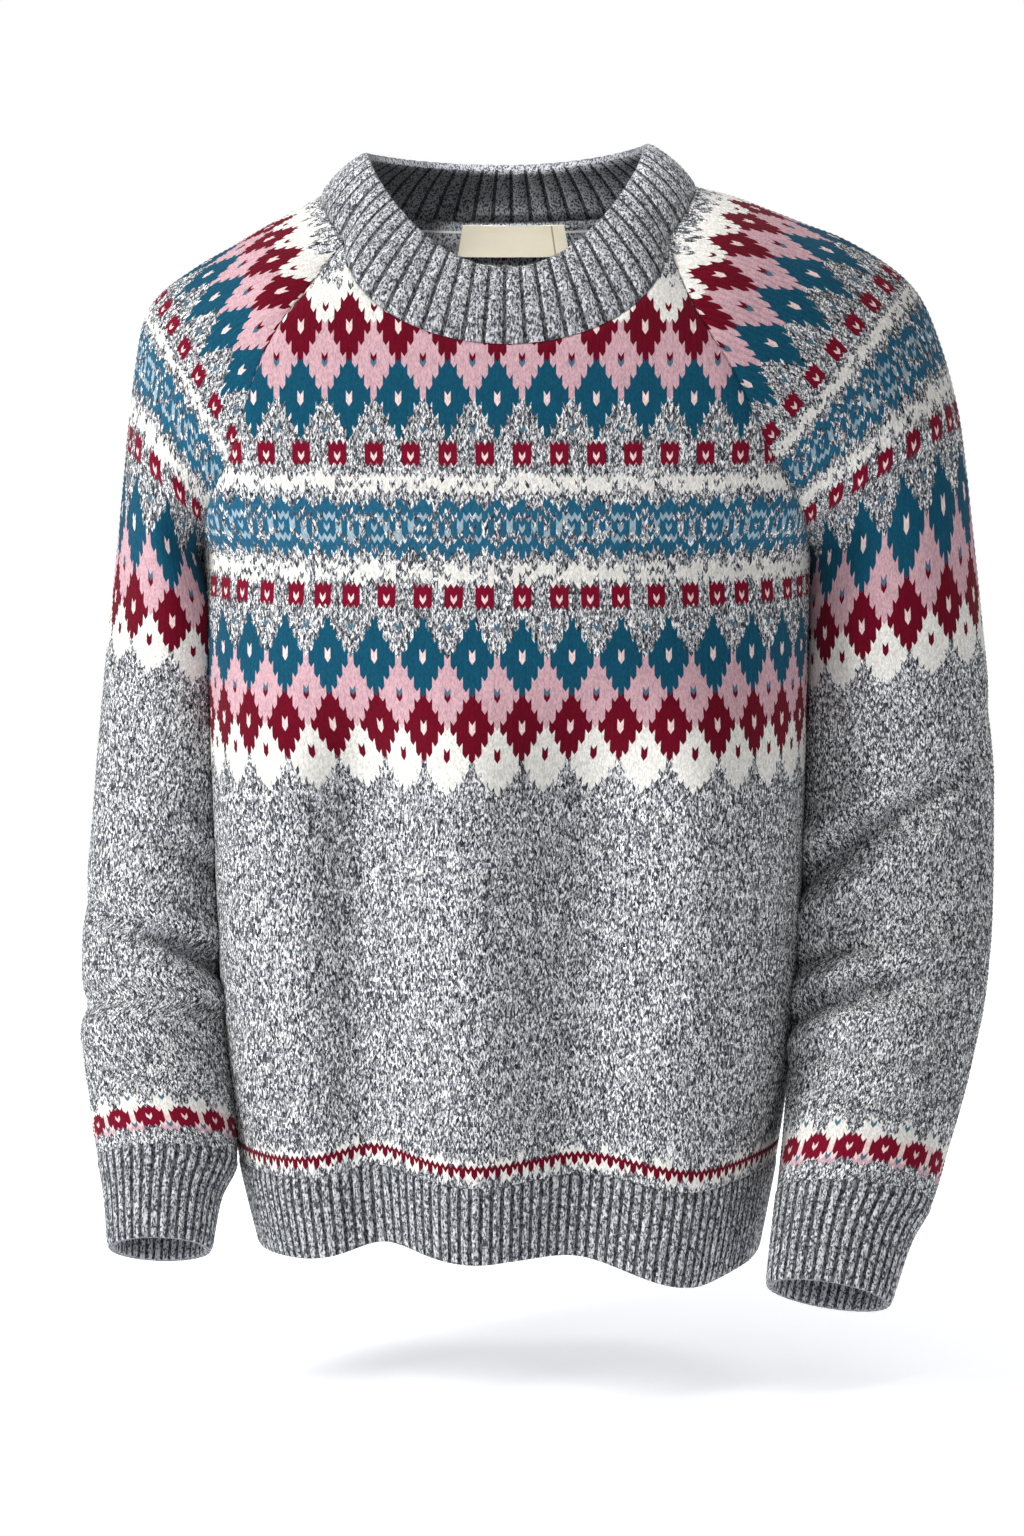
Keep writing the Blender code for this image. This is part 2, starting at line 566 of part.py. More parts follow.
# Cuffs
for side, name, surface in ((1, "cuff_left", left), (-1, "cuff_right", right)):
    ring = surface[0][surface[2][-1][:-1]]
    way = unit(np.array([shared[place_key(p)] for p in ring]))
    cuff_at = np.arange(2 * CUFF_RIBS) / (2 * CUFF_RIBS)
    rings = []
    for row in (19.3, 20.0, 20.9, 21.0):
        circle = sleeve_point(side, row, np.linspace(-1, 1, 65))
        rings.append(along(circle, circle, cuff_at)[0])
    seam, ways = seam_start(ring, way, cuff_at, rings[1])
    outer, inner = ribbed_rows(
        seam, ways, list(zip(rings, (1, 1, 1, 0.3))), CUFF_RIBS, RIB_RISE, WALL
    )
    add_band(name, outer, inner[[0, 4]], DARK_GREY)


def add_inside_patch(name, turns, tops, height, rows, depth, wall, colour):
    """A flat piece sewn inside the back neck, at this depth behind the outer surface."""
    z = tops[None] - np.linspace(0, height, rows + 1)[:, None]
    points = back_point(np.broadcast_to(turns, z.shape), z)
    index = np.arange(z.size).reshape(z.shape)
    quads = grid_quads(index)
    flat = points.reshape(-1, 3)
    ways = normals_of(flat, quads)
    count = len(flat)
    both = np.concatenate([flat - ways * depth, flat - ways * (depth + wall)])
    faces = [tuple(q) for q in quads] + [tuple(q[::-1] + count) for q in quads]
    faces += [(b, a, a + count, b + count) for a, b in open_edges(quads)]
    make_object(name, both, faces, colour)


def back_turn(x):
    """The turn of the back panel at this distance from the middle, near the neckline."""
    wide = curve(BACK[:, 0], BACK[:, 1], np.float64(BACK_NECK_Z))
    return np.sign(x) * np.arcsin(np.clip(np.abs(x) / wide, 0, 1) ** (1.9 / 2)) * 2 / np.pi


# Neck tape and label
tape_turns = back_turn(np.linspace(-TAPE_X, TAPE_X, 13))
add_inside_patch(
    "neck_tape", tape_turns, back_neck_z(tape_turns) - TAPE_TOP, TAPE_HEIGHT, 2,
    WALL + 0.0005, TAPE_WALL, GREY
)
label_x = LABEL_MIDDLE_X + LABEL_WIDTH * np.linspace(-0.5, 0.5, 7)
label_turns = back_turn(label_x)
add_inside_patch(
    "label", label_turns, back_neck_z(label_turns) - LABEL_TOP, LABEL_HEIGHT, 2,
    WALL + 0.0005 + TAPE_WALL + 0.0004, LABEL_WALL, CREAM
)
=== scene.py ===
import bpy
import numpy as np
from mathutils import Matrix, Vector


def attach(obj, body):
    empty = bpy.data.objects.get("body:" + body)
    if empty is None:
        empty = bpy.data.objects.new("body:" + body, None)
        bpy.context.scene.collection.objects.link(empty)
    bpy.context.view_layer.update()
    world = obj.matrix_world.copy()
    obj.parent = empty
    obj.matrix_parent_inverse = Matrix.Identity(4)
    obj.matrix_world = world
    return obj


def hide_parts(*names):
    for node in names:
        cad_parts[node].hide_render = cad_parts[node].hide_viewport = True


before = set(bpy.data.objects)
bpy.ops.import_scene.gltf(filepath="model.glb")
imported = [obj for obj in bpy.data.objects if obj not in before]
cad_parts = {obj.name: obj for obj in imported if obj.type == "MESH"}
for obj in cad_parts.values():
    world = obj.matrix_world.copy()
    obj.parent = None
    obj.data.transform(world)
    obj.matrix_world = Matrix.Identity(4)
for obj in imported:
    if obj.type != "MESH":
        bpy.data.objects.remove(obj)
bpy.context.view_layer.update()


# Front panel
# The front of the body, from side seam to side seam, in soft brushed alpaca and wool. It is
# knitted flat in stocking stitch with the coloured yoke worked in, then linked to the sleeves,
# the back, the neckband and the hem rib.

STITCH = 0.00341  # width of one stitch, 29 to 10 cm
ROW = 0.00302  # height of one row, 33 to 10 cm
SLANT = 0.85  # how far the two legs of a stitch rise from its middle, in rows
LEG_RISE = 0.00075  # height of a leg of yarn above the valleys round it
EDGE_DIP = 0.0006  # how far the fabric turns in at a seam
RIM_PAINTED_SHADE = 0.6  # painted shade: how much darker the marl is coloured on the rim faces, as in the depth of a seam
CLOTH = 0.0030  # wall of the panels, the sleeves and the lower ribs
INSIDE_STEPS = (3, 4)  # rows and half stitches between the points of the plain inside
CHART_TOP = -0.1360  # height of the chart's row 0

FRONT = np.array([
    # z, left side x, right side x, side y, middle y, roundness, from the neck down
    (-0.0260, 0.0895, 0.0903, -0.066, -0.0960, 1.3),
    (-0.0504, 0.0985, 0.1090, -0.088, -0.1080, 1.3),
    (-0.0690, 0.1080, 0.1240, -0.098, -0.1130, 1.3),
    (-0.0940, 0.1235, 0.1370, -0.101, -0.1170, 1.4),
    (-0.1140, 0.1335, 0.1440, -0.100, -0.1195, 1.5),
    (-0.1350, 0.1430, 0.1505, -0.095, -0.1215, 1.7),
    (-0.1490, 0.1510, 0.1560, -0.087, -0.1230, 1.8),
    (-0.1640, 0.1605, 0.1635, -0.073, -0.1240, 2.0),
    (-0.1820, 0.1675, 0.1700, -0.050, -0.1250, 2.1),
    (-0.2060, 0.1745, 0.1745, 0.0020, -0.1260, 2.2),
    (-0.2500, 0.1738, 0.1735, 0.0030, -0.1265, 2.3),
    (-0.3500, 0.1720, 0.1700, 0.0040, -0.1210, 2.3),
    (-0.4500, 0.1690, 0.1665, 0.0050, -0.1170, 2.3),
    (-0.5000, 0.1650, 0.1630, 0.0050, -0.1170, 2.3),
    (-0.5300, 0.1610, 0.1600, 0.0050, -0.1180, 2.3),
    (-0.5560, 0.1570, 0.1560, 0.0050, -0.1180, 2.3),
    (-0.6200, 0.1450, 0.1410, 0.0050, -0.1150, 2.3),
])
FRONT_FOLDS = np.array([
    # place across the front (-1 right side, 1 left side), half-width, depth forward, lift
    (-0.80, 0.20, 0.0080, -0.0020),
    (-0.47, 0.15, -0.0150, 0.0060),
    (-0.12, 0.18, 0.0090, -0.0020),
    (0.26, 0.17, -0.0110, 0.0030),
    (0.68, 0.22, 0.0130, -0.0070),
])
FOLD_TOP_Z, FOLD_FULL_Z = -0.25, -0.35  # where the folds begin and where they are full
FOLD_EXTRA = 0.6  # how much deeper the folds are above the hem than at it
LIFT_TOP_Z, LIFT_FULL_Z = -0.30, -0.55  # the same for how they lift the cloth
FRONT_NECK_Z = -0.0820
UNDERARM_Z = FRONT[9, 0]
HEM_SEAM_ROW = 137
HEM_SEAM_Z = -0.5570  # at the side seams
HEM_SEAM_RISES = {-1: 0.0070, 1: 0.0040}  # how much higher it is in the middle, front and back

# The yarns' numbers, in the order of their colours below
MARL, CREAM, BURGUNDY, CRIMSON, TEAL, BLUE, PINK, PALE_PINK, SLATE, FROST = range(10)


def linear(code):
    """The linear colour of an sRGB hex value."""
    shares = np.array([int(code[k:k + 2], 16) / 255 for k in (1, 3, 5)])
    return np.where(shares <= 0.04045, shares / 12.92, ((shares + 0.055) / 1.055) ** 2.4)


YARNS = np.array([
    linear(code) for code in (
        "#BDBFC4", "#EFECE5", "#6B001D", "#7B0627", "#0D5069", "#23607D", "#D4ABB3", "#F1D6D3",
        "#4C7287", "#9DB3BF",
    )
])
# The marl is spun from a white and a charcoal strand
LIGHT_STRAND, DARK_STRAND = linear("#FFFFFF"), linear("#4A4E55")
STRAND_CONTRAST = 1.7  # how far the faces of a leg are pushed towards one strand or the other
DYE_SPREAD = (0.88, 1.10)  # how much a dyed yarn varies from face to face
DYED_TWIST = 0.22  # how much of the marl's twist a dyed yarn shows
INSIDE_SHADE, INSIDE_MARL, INSIDE_TWIST = 0.55, 0.20, 0.60  # the same for the wrong side


def curve(known, values, at):
    """Values on a smooth curve through a table that doesn't overshoot between its rows."""
    known, values, at = (np.asarray(v, float) for v in (known, values, at))
    if known[0] > known[-1]:
        known, values = known[::-1], values[::-1]
    step = np.diff(known)
    rise = np.diff(values) / step
    slope = np.concatenate([rise[:1], (rise[:-1] + rise[1:]) / 2, rise[-1:]])
    slope[1:-1] = np.where(rise[:-1] * rise[1:] > 0, slope[1:-1], 0)
    limit = 3 * np.minimum(np.abs(np.append(rise, rise[-1])), np.abs(np.append(rise[0], rise)))
    slope = np.clip(slope, -limit, limit)
    i = np.clip(np.searchsorted(known, at) - 1, 0, len(step) - 1)
    t = np.clip((at - known[i]) / step[i], 0, 1)
    return (
        (2 * t**3 - 3 * t**2 + 1) * values[i] + (t**3 - 2 * t**2 + t) * step[i] * slope[i]
        + (3 * t**2 - 2 * t**3) * values[i + 1] + (t**3 - t**2) * step[i] * slope[i + 1]
    )


def panel_numbers(table, z):
    """Left x, right x, side y, middle y and roundness of a panel at these heights.

    Below the underarm both panels have the side seams of the front.
    """
    found = [curve(table[:, 0], table[:, k], z) for k in range(1, 6)]
    seams = [curve(FRONT[9:, 0], FRONT[9:, k], z) for k in range(1, 4)]
    below = np.asarray(z) < UNDERARM_Z
    return [np.where(below, seam, own) for seam, own in zip(seams, found)] + found[3:]


def body_point(table, folds, facing, turn, z):
    """Points of a body panel. turn goes from -1 at the right side to 1 at the left side, and
    facing is -1 for the front and 1 for the back.
    """
    turn, z = np.broadcast_arrays(np.asarray(turn, float), np.asarray(z, float))
    left, right, side_y, middle_y, power = panel_numbers(table, z)
    angle = turn * np.pi / 2
    across = np.sign(turn) * np.abs(np.sin(angle)) ** (2 / np.maximum(power, 1.9))
    round_in = np.clip(np.cos(angle), 0, 1) ** (2 / power)
    x = across * np.where(turn > 0, left, right)
    y = side_y + (middle_y - side_y) * round_in
    strength = np.clip((LIFT_TOP_Z - z) / (LIFT_TOP_Z - LIFT_FULL_Z), 0, 1) ** 1.5
    rise = np.clip((FOLD_TOP_Z - z) / (FOLD_TOP_Z - FOLD_FULL_Z), 0, 1)
    deep = rise * rise * (3 - 2 * rise) * (1 + FOLD_EXTRA * (1 - strength))
    # The lift weakens below the hem seam, and the folds fade out towards the side seams
    lift_share = strength * np.clip(1.6 + (z + 0.556) / 0.09, 0.55, 1)
    fade = np.clip(np.cos(angle) / 0.35, 0, 1)
    for place, width, depth, lift in folds:
        bump = np.exp(-(((across - place) / width) ** 2))
        y = y + facing * depth * bump * deep * fade
        z = z + lift * bump * lift_share * fade
    return np.stack([x, y, z], -1)


def front_point(turn, z):
    return body_point(FRONT, FRONT_FOLDS, -1, turn, z)


def front_neck_z(turn):
    """Height of the front neckline: an ellipse from one raglan seam to the other."""
    turn = np.asarray(turn, float)
    low, high = np.full(turn.shape, FRONT_NECK_Z), np.full(turn.shape, FRONT[0, 0])
    for _ in range(30):
        z = (low + high) / 2
        out = np.abs(front_point(turn, z)[..., 0]) / np.where(turn > 0, FRONT[0, 1], FRONT[0, 2])
        goal = FRONT[0, 0] + (FRONT_NECK_Z - FRONT[0, 0]) * np.sqrt(np.clip(1 - out**2, 0, 1))
        low, high = np.where(z < goal, z, low), np.where(z < goal, high, z)
    return np.where(np.abs(turn) > 0.9999, FRONT[0, 0], z)


def hem_seam_z(turn, facing):
    """Height of the seam over the hem rib: a little higher in the middle than at the sides."""
    middle = np.clip(np.cos(np.asarray(turn) * np.pi / 2), 0, 1)
    return HEM_SEAM_Z + HEM_SEAM_RISES[facing] * middle**0.7


def row_z(row, turn, facing):
    """Height of a knitted row. Below the underarm the rows gradually take the hem seam's line."""
    level = CHART_TOP - ROW * row
    last_level = CHART_TOP - ROW * HEM_SEAM_ROW
    share = np.clip((UNDERARM_Z - level) / (UNDERARM_Z - last_level), 0, 1)
    return np.where(
        level > UNDERARM_Z, level, UNDERARM_Z + share * (hem_seam_z(turn, facing) - UNDERARM_Z)
    )


def front_surface(row, turn):
    return front_point(turn, row_z(row, turn, -1))


def unit(vectors):
    return vectors / np.maximum(np.linalg.norm(vectors, axis=-1, keepdims=True), 1e-12)


def stitch_grid(surface, first, last, fixed_from, above=None):
    """Where the stitches lie on a flat-knitted piece: its points, which of them lie on an edge,
    and the number of the first stitch. There are two columns of points to a stitch.

    Columns run from the middle out, one stitch width apart along each row, and end at the seams.
    Below the row fixed_from their number stays the same. above gives how far a place lies beyond
    the line where the piece is cut away.
    """
    rows = np.arange(first, last + 1)
    turns = np.linspace(-1, 1, 201)
    lines = surface(rows[:, None].astype(float), turns[None])
    steps = np.linalg.norm(np.diff(lines, axis=1), axis=-1)
    along = np.concatenate([np.zeros((len(rows), 1)), np.cumsum(steps, axis=1)], axis=1)
    along -= along[:, 100:101]
    fixed = max(0, min(len(rows) - 1, fixed_from - first))
    reach = np.maximum(along[:, -1], -along[:, 0])[:fixed + 1].max()
    half = int(np.ceil(reach / (STITCH / 2))) + 1
    half += half % 2
    places = np.arange(-half, half + 1)
    turn = np.zeros((len(rows), len(places)))
    for k, line in enumerate(along):
        level = min(k, fixed)
        stretch = np.where(places > 0, line[-1] / along[level, -1], line[0] / along[level, 0])
        turn[k] = np.interp(places * STITCH / 2 * stretch, line, turns)
    tilt = np.where(places % 2 == 0, -SLANT / 2, SLANT / 2)
    at = rows[:, None] + np.broadcast_to(tilt, turn.shape)
    at[0], at[-1] = first, last
    beside = np.where(tilt < 0, -1, 1)
    index = np.arange(len(rows))
    other = np.clip(index[:, None] + beside[None], 0, len(rows) - 1)
    moved = turn + (np.take_along_axis(turn, other, 0) - turn) * SLANT / 2
    moved[0], moved[-1] = turn[0], turn[-1]
    past_seam = np.abs(moved) > 1 - 1e-9
    past_seam[:, half:] = np.logical_or.accumulate(past_seam[:, half:], axis=1)
    past_seam[:, half::-1] = np.logical_or.accumulate(past_seam[:, half::-1], axis=1)
    at = np.where(past_seam, rows[:, None], at)
    cut_away = np.zeros_like(past_seam)
    if above is not None:
        cut = above(rows[:, None], turn)
        crossing = np.full(len(places), float(first))
        for k in range(len(places)):
            under = np.nonzero(cut[:, k] <= 0)[0][0]
            if under > 0:
                a, b = cut[under - 1, k], cut[under, k]
                crossing[k] = rows[under - 1] + a / (a - b)
        crossings = np.where(past_seam, crossing[0], crossing[None])
        cut_away = at <= crossings
        at = np.maximum(at, crossings)
        spot = np.clip(at - first, 0, len(rows) - 1)
        low = np.floor(spot).astype(int)
        high = np.minimum(low + 1, len(rows) - 1)
        share = spot - low
        column = np.arange(len(places))[None]
        moved = turn[low, column] * (1 - share) + turn[high, column] * share
    moved = np.where(past_seam, np.sign(places)[None], moved)
    return surface(at, moved), past_seam | cut_away, -half // 2


def grid_quads(index):
    """Faces between the rows of an array of point numbers."""
    a, b, c, d = index[:-1, :-1], index[:-1, 1:], index[1:, 1:], index[1:, :-1]
    return np.stack([a, b, c, d], -1).reshape(-1, 4)


def normals_of(points, quads):
    """Normals at the points of a surface of four-sided faces."""
    corners = points[quads]
    face = np.cross(corners[:, 2] - corners[:, 0], corners[:, 3] - corners[:, 1])
    found = np.zeros_like(points)
    for k in range(4):
        np.add.at(found, quads[:, k], face)
    return unit(found)


def open_loops(triangles, count):
    """The closed lines of edges that belong to one face only, as lists of point numbers."""
    edges = np.concatenate([triangles[:, [0, 1]], triangles[:, [1, 2]], triangles[:, [2, 0]]])
    there = edges[:, 0] * count + edges[:, 1]
    back = edges[:, 1] * count + edges[:, 0]
    after = {}
    for a, b in edges[~np.isin(there, back)].tolist():
        after.setdefault(a, []).append(b)
    loops = []
    while after:
        loop = [next(iter(after))]
        while loop[-1] in after:
            ways = after[loop[-1]]
            loop.append(ways.pop())
            if not ways:
                del after[loop[-2]]
            if loop[-1] == loop[0]:
                break
        loops.append(loop[:-1])
    # Loops that touch at a point are one line that passes it twice
    whole = []
    for loop in sorted(loops, key=len, reverse=True):
        touching = [k for k, other in enumerate(whole) if set(other) & set(loop)]
        if not touching:
            whole.append(loop)
            continue
        other = whole[touching[0]]
        point = next(iter(set(other) & set(loop)))
        i, j = other.index(point), loop.index(point)
        whole[touching[0]] = other[:i] + loop[j:] + loop[:j] + other[i:]
    return [np.array(loop) for loop in whole]


def joining_faces(outer, inner, points):
    """Triangles between two lines of point numbers that go the same way round."""
    nearest = np.argmin(np.linalg.norm(points[inner] - points[outer[0]], axis=1))
    inner = np.roll(inner, -nearest)
    lengths = []
    for line in (outer, inner):
        steps = np.linalg.norm(points[np.roll(line, -1)] - points[line], axis=1)
        lengths.append(np.concatenate([[0], np.cumsum(steps)]))
    stretch = lengths[0][-1] / lengths[1][-1]
    # Each triangle takes the shorter way across and keeps the two lines level with each other
    p, q, found = 0, 0, []
    while p < len(outer) or q < len(inner):
        a, c = outer[p % len(outer)], inner[q % len(inner)]
        b, d = outer[(p + 1) % len(outer)], inner[(q + 1) % len(inner)]
        if p < len(outer) and q < len(inner):
            ahead = lengths[0][p + 1] - lengths[1][q] * stretch
            behind = lengths[0][p] - lengths[1][q + 1] * stretch
            past_a = np.sum((points[b] - points[c]) ** 2) + ahead**2 / 4
            past_c = np.sum((points[d] - points[a]) ** 2) + behind**2 / 4
        if q == len(inner) or (p < len(outer) and past_a <= past_c):
            found.append((b, a, c))
            p += 1
        else:
            found.append((a, c, d))
            q += 1
    return found


def real_ones(triangles):
    """Which of these triangles have three different corners."""
    a, b, c = triangles.T
    return (a != b) & (b != c) & (c != a)


def put_in_scene(name, data):
    """An object of this mesh, lamp or camera."""
    obj = bpy.data.objects.new(name, data)
    bpy.context.scene.collection.objects.link(obj)
    return obj


def knitted(name, points, outside, colours, material, flip, options):
    """A knitted wall as one closed mesh: two slanting legs of yarn to a stitch outside, a plain
    inside under them, and a rim that joins both.

    points has a row of points for each knitted row and two columns to a stitch, and outside says
    which lie on an edge. colours has four colours for each leg, one to each of its faces; their
    alpha is how much of the marl's twist shows. options holds inside, the wrong side's colours,
    and may hold lift and inner_lift, how far the two sides are raised, rise, wall and steps.
    """
    lift = options.get("lift", np.zeros(outside.shape))
    rows, count = outside.shape
    flat = points.reshape(-1, 3)
    # Points that fall together within a thousandth of a millimetre are one
    places = np.round(flat * 1e6).astype(np.int64)
    _, first, ids = np.unique(places, axis=0, return_index=True, return_inverse=True)
    ids = ids.reshape(rows, count)
    base, on_edge = flat[first], outside.ravel()[first]
    numbering = np.arange(rows * count).reshape(rows, count)

    # The legs of yarn: four faces each, round a raised middle
    legs = grid_quads(ids)
    edge_corners = outside.ravel()[grid_quads(numbering)]
    kept = ~edge_corners.all(1)
    legs, edge_corners = legs[kept], edge_corners[kept]
    ways = normals_of(base, legs) * (-1 if flip else 1)
    lifted = base + ways * (lift.ravel()[first] - EDGE_DIP * on_edge)[:, None]
    centres = lifted[legs].mean(1)
    rise = options.get("rise", LEG_RISE) * (1 - edge_corners.mean(1))
    centres = centres + unit(ways[legs].sum(1)) * rise[:, None]
    e = len(base) + np.arange(len(legs))
    a, b, c, d = legs.T
    outer = np.stack([np.stack(t, -1) for t in ((a, b, e), (b, c, e), (c, d, e), (d, a, e))], 1)
    # In the texture space the outside has the left three quarters, the inside a strip beside it
    # and the rim a thin line at the end
    corner_row, corner_column = np.divmod(numbering.ravel(), count)
    grid = np.stack([corner_column / (count - 1), corner_row / (rows - 1)], -1)
    grid_legs = grid[grid_quads(numbering)[kept]]
    middle = grid_legs.mean(1)
    spots = np.stack(
        [np.stack([grid_legs[:, i], grid_legs[:, (i + 1) % 4], middle], 1) for i in range(4)], 1
    )
    outer, spots = outer.reshape(-1, 3), spots.reshape(-1, 3, 2) * (0.76, 0.96) + (0.01, 0.02)
    shades = colours.reshape(-1, 4, 4)[kept].reshape(-1, 4)
    real = real_ones(outer)
    outer, spots, shades = outer[real], spots[real], shades[real]

    # The plain inside, with a point for every few stitches
    down, over = options.get("steps", INSIDE_STEPS)
    some_rows = np.unique(np.append(np.arange(0, rows, down), rows - 1))
    some_columns = np.unique(np.append(np.arange(0, count, over), count - 1))
    coarse = ids[np.ix_(some_rows, some_columns)]
    quads, quad_grid = grid_quads(coarse), grid_quads(numbering[np.ix_(some_rows, some_columns)])
    inside_kept = ~outside.ravel()[quad_grid].all(1)
    quads, quad_grid = quads[inside_kept], quad_grid[inside_kept]
    used, numbers = np.unique(quads, return_inverse=True)
    numbers = numbers.reshape(-1, 4) + len(base) + len(legs)
    inner_lift = options.get("inner_lift", 0.0) * lift.ravel()[first][used]
    wall = options.get("wall", CLOTH)
    inner_points = base[used] + ways[used] * (inner_lift - wall)[:, None]
    inner = np.concatenate([numbers[:, [0, 2, 1]], numbers[:, [0, 3, 2]]])
    inner_spots = np.concatenate([grid[quad_grid[:, [0, 2, 1]]], grid[quad_grid[:, [0, 3, 2]]]])
    inner_spots = inner_spots * (0.19, 0.96) + (0.79, 0.02)
    leg_row, leg_column = np.divmod(quad_grid[:, 0], count)
    leg_row, leg_column = np.minimum(leg_row, rows - 2), np.minimum(leg_column, count - 2)
    inner_shades = options["inside"][leg_row, leg_column]
    real = real_ones(inner)
    inner, inner_spots = inner[real], inner_spots[real]
    inner_shades = np.concatenate([inner_shades, inner_shades])[real]

    # The rim, which closes the wall all round
    everything = np.concatenate([lifted, centres, inner_points])
    outer_lines = open_loops(outer, len(everything))
    inner_lines = [line[::-1] for line in open_loops(inner, len(everything))]
    rim = []
    for line in outer_lines:
        middle = everything[line].mean(0)
        nearest = min(
            inner_lines, key=lambda other: np.linalg.norm(everything[other].mean(0) - middle)
        )
        rim += joining_faces(line, nearest, everything)
    rim = np.array(rim)
    share = np.arange(len(rim)) / len(rim)
    rim_spots = np.stack([
        np.stack([0.985 + 0 * share, share], -1),
        np.stack([0.985 + 0 * share, share + 0.5 / len(rim)], -1),
        np.stack([0.995 + 0 * share, share], -1),
    ], 1) * (1, 0.96) + (0, 0.02)
    # The rim faces take the marl darkened by painted shade, as in the depth of a seam
    rim_painted_shades = np.tile([*YARNS[MARL] * RIM_PAINTED_SHADE, 1.0], (len(rim), 1))

    triangles = np.concatenate([outer, inner, rim])
    all_spots = np.concatenate([spots, inner_spots, rim_spots])
    all_shades = np.concatenate([shades, inner_shades, rim_painted_shades])
    if flip:
        triangles, all_spots = triangles[:, ::-1], all_spots[:, ::-1]
    used, numbers = np.unique(triangles, return_inverse=True)
    mesh = bpy.data.meshes.new(name)
    mesh.from_pydata(everything[used].tolist(), [], numbers.reshape(-1, 3).tolist())
    smooth = np.concatenate([np.ones(len(outer) + len(inner), bool), np.zeros(len(rim), bool)])
    mesh.polygons.foreach_set("use_smooth", smooth)
    layer = mesh.uv_layers.new(name="OFBake")
    layer.data.foreach_set("uv", all_spots.reshape(-1))
    paint = mesh.color_attributes.new("yarn", "FLOAT_COLOR", "CORNER")
    paint.data.foreach_set("color", np.repeat(all_shades, 3, axis=0).reshape(-1))
    mesh.materials.append(material)
    mesh.update()
    return put_in_scene(name, mesh)


def from_middle(column, middle, width):
    """How many stitches a column is from the middle of the nearest motif of this width."""
    return (column - middle + width // 2) % width - width // 2


BODY_SHIFT = 2  # stitches from the middle of a body panel to the middle of its first motif
# Widths of the motifs in stitches, row by row
BLUE_DIAMOND = np.array((1, 1, 3, 3, 5, 5, 7, 7, 7, 5, 5, 3, 3, 1))
BURGUNDY_DIAMOND = np.array((1, 3, 3, 5, 5, 7, 7, 5, 5, 3, 3, 1))
CREAM_POINT = np.array((7, 7, 5, 5, 3, 1))
# One repeat of the middle band: B is blue, C is frost and a dot is marl
MID_BAND = (
    ".B...B..", "BBB.BBB.", "BBBBB.BB", "CCCB.B.B", "BBBCB.BC", "BCBCB.BC", "BBB.BCB.",
    "CCCB.C.B", "BBBBB.BB", "BBB.BBB.", ".B...B..",
)


def fair_isle(row, column, chance):
    """The yarn of each stitch of the yoke chart. Row 0 is the top of the first row
    of squares. The motifs repeat every 8 stitches, 27 mm, and the squares every 6 or so, 20 mm.
    """
    yarn = np.full(row.shape, MARL)
    shift = np.where(row < 0, 4, 0)
    on, off = np.abs(from_middle(column, shift, 8)), np.abs(from_middle(column, shift + 4, 8))

    def paint(where, what):
        yarn[where] = what

    # Grounds behind the diamonds
    paint((row < -22) & (chance > (-28 - row) / 5), CREAM)
    paint((row >= -22) & (row < -8), PINK)
    paint((row >= 39) & (row < 52), PINK)
    paint((row >= 52) & (row < 58), CREAM)
    # Diamonds, one row of blue and one of burgundy, mirrored above and below the squares
    for top, widths, what in (
        (-27, BURGUNDY_DIAMOND, BURGUNDY), (-15, BLUE_DIAMOND[::-1], TEAL),
        (32, BLUE_DIAMOND, TEAL), (46, BURGUNDY_DIAMOND, BURGUNDY),
    ):
        k = row - top
        there = (k >= 0) & (k < len(widths))
        width = np.where(there, widths[np.clip(k, 0, len(widths) - 1)], 0)
        paint(2 * on < width, what)
        middle = len(widths) // 2
        paint((on == 0) & ((k == middle - 1) | (k == middle)) & there, PALE_PINK)
    k = np.clip(row - 58, 0, 5)
    paint((row >= 58) & (row < 64) & (2 * off < CREAM_POINT[k]), CREAM)
    # Single stitches in the grounds
    for at, what in ((-25, BURGUNDY), (-16, BURGUNDY), (-15, SLATE), (45, SLATE), (46, BURGUNDY)):
        paint((row == at) & (off == 0), what)
    paint(((row == 56) | (row == 57)) & (off == 0), BURGUNDY)
    paint(((row == -3) | (row == 33)) & (off == 0), SLATE)
    # Squares
    for top, repeat in ((0, 6), (26, 5.5)):
        nearest = np.round(column / repeat)
        away = np.abs(column - np.round(nearest * repeat))
        k = row - top
        paint((k >= 0) & (k < 4) & (away <= 1), CRIMSON)
        paint((k == 2) & (away == 0), PALE_PINK)
    # Middle band
    letters = np.array([[".CB".index(letter) for letter in line] for line in MID_BAND])
    kinds = np.array([MARL, FROST, BLUE])[letters]
    k = row - 10
    there = (k >= 0) & (k < len(MID_BAND))
    band = kinds[np.clip(k, 0, len(MID_BAND) - 1), (column + 1) % 8]
    band = np.where((band == FROST) & (chance < 0.4), MARL, band)
    yarn = np.where(there & ((band != BLUE) | (chance < 0.93)), band, yarn)
    # Cream rows with soft edges above and below the band
    for middle, spread in ((6.9, 1.75), (23.2, 1.9)):
        share = np.clip(1.2 - np.abs(row - middle) / spread, 0, 0.72)
        near = (np.abs(row - middle) < 4) & (yarn == MARL)
        yarn = np.where(near & (chance < share), CREAM, yarn)
    return yarn


def hem_stripe(yarn, row, column, chance, end):
    """Adds the narrow stripe that ends at this row: a burgundy line with small teeth, in cream."""
    k = row - end
    yarn = np.where((k == -6) & (chance < 0.15), CREAM, yarn)
    yarn = np.where((k == -5) & (chance < 0.50), CREAM, yarn)
    yarn = np.where(k == -4, BURGUNDY, yarn)
    yarn = np.where(k == -3, np.where(column % 2 == 0, BURGUNDY, CREAM), yarn)
    yarn = np.where((k == -2) & (chance < 0.35), CREAM, yarn)
    return yarn


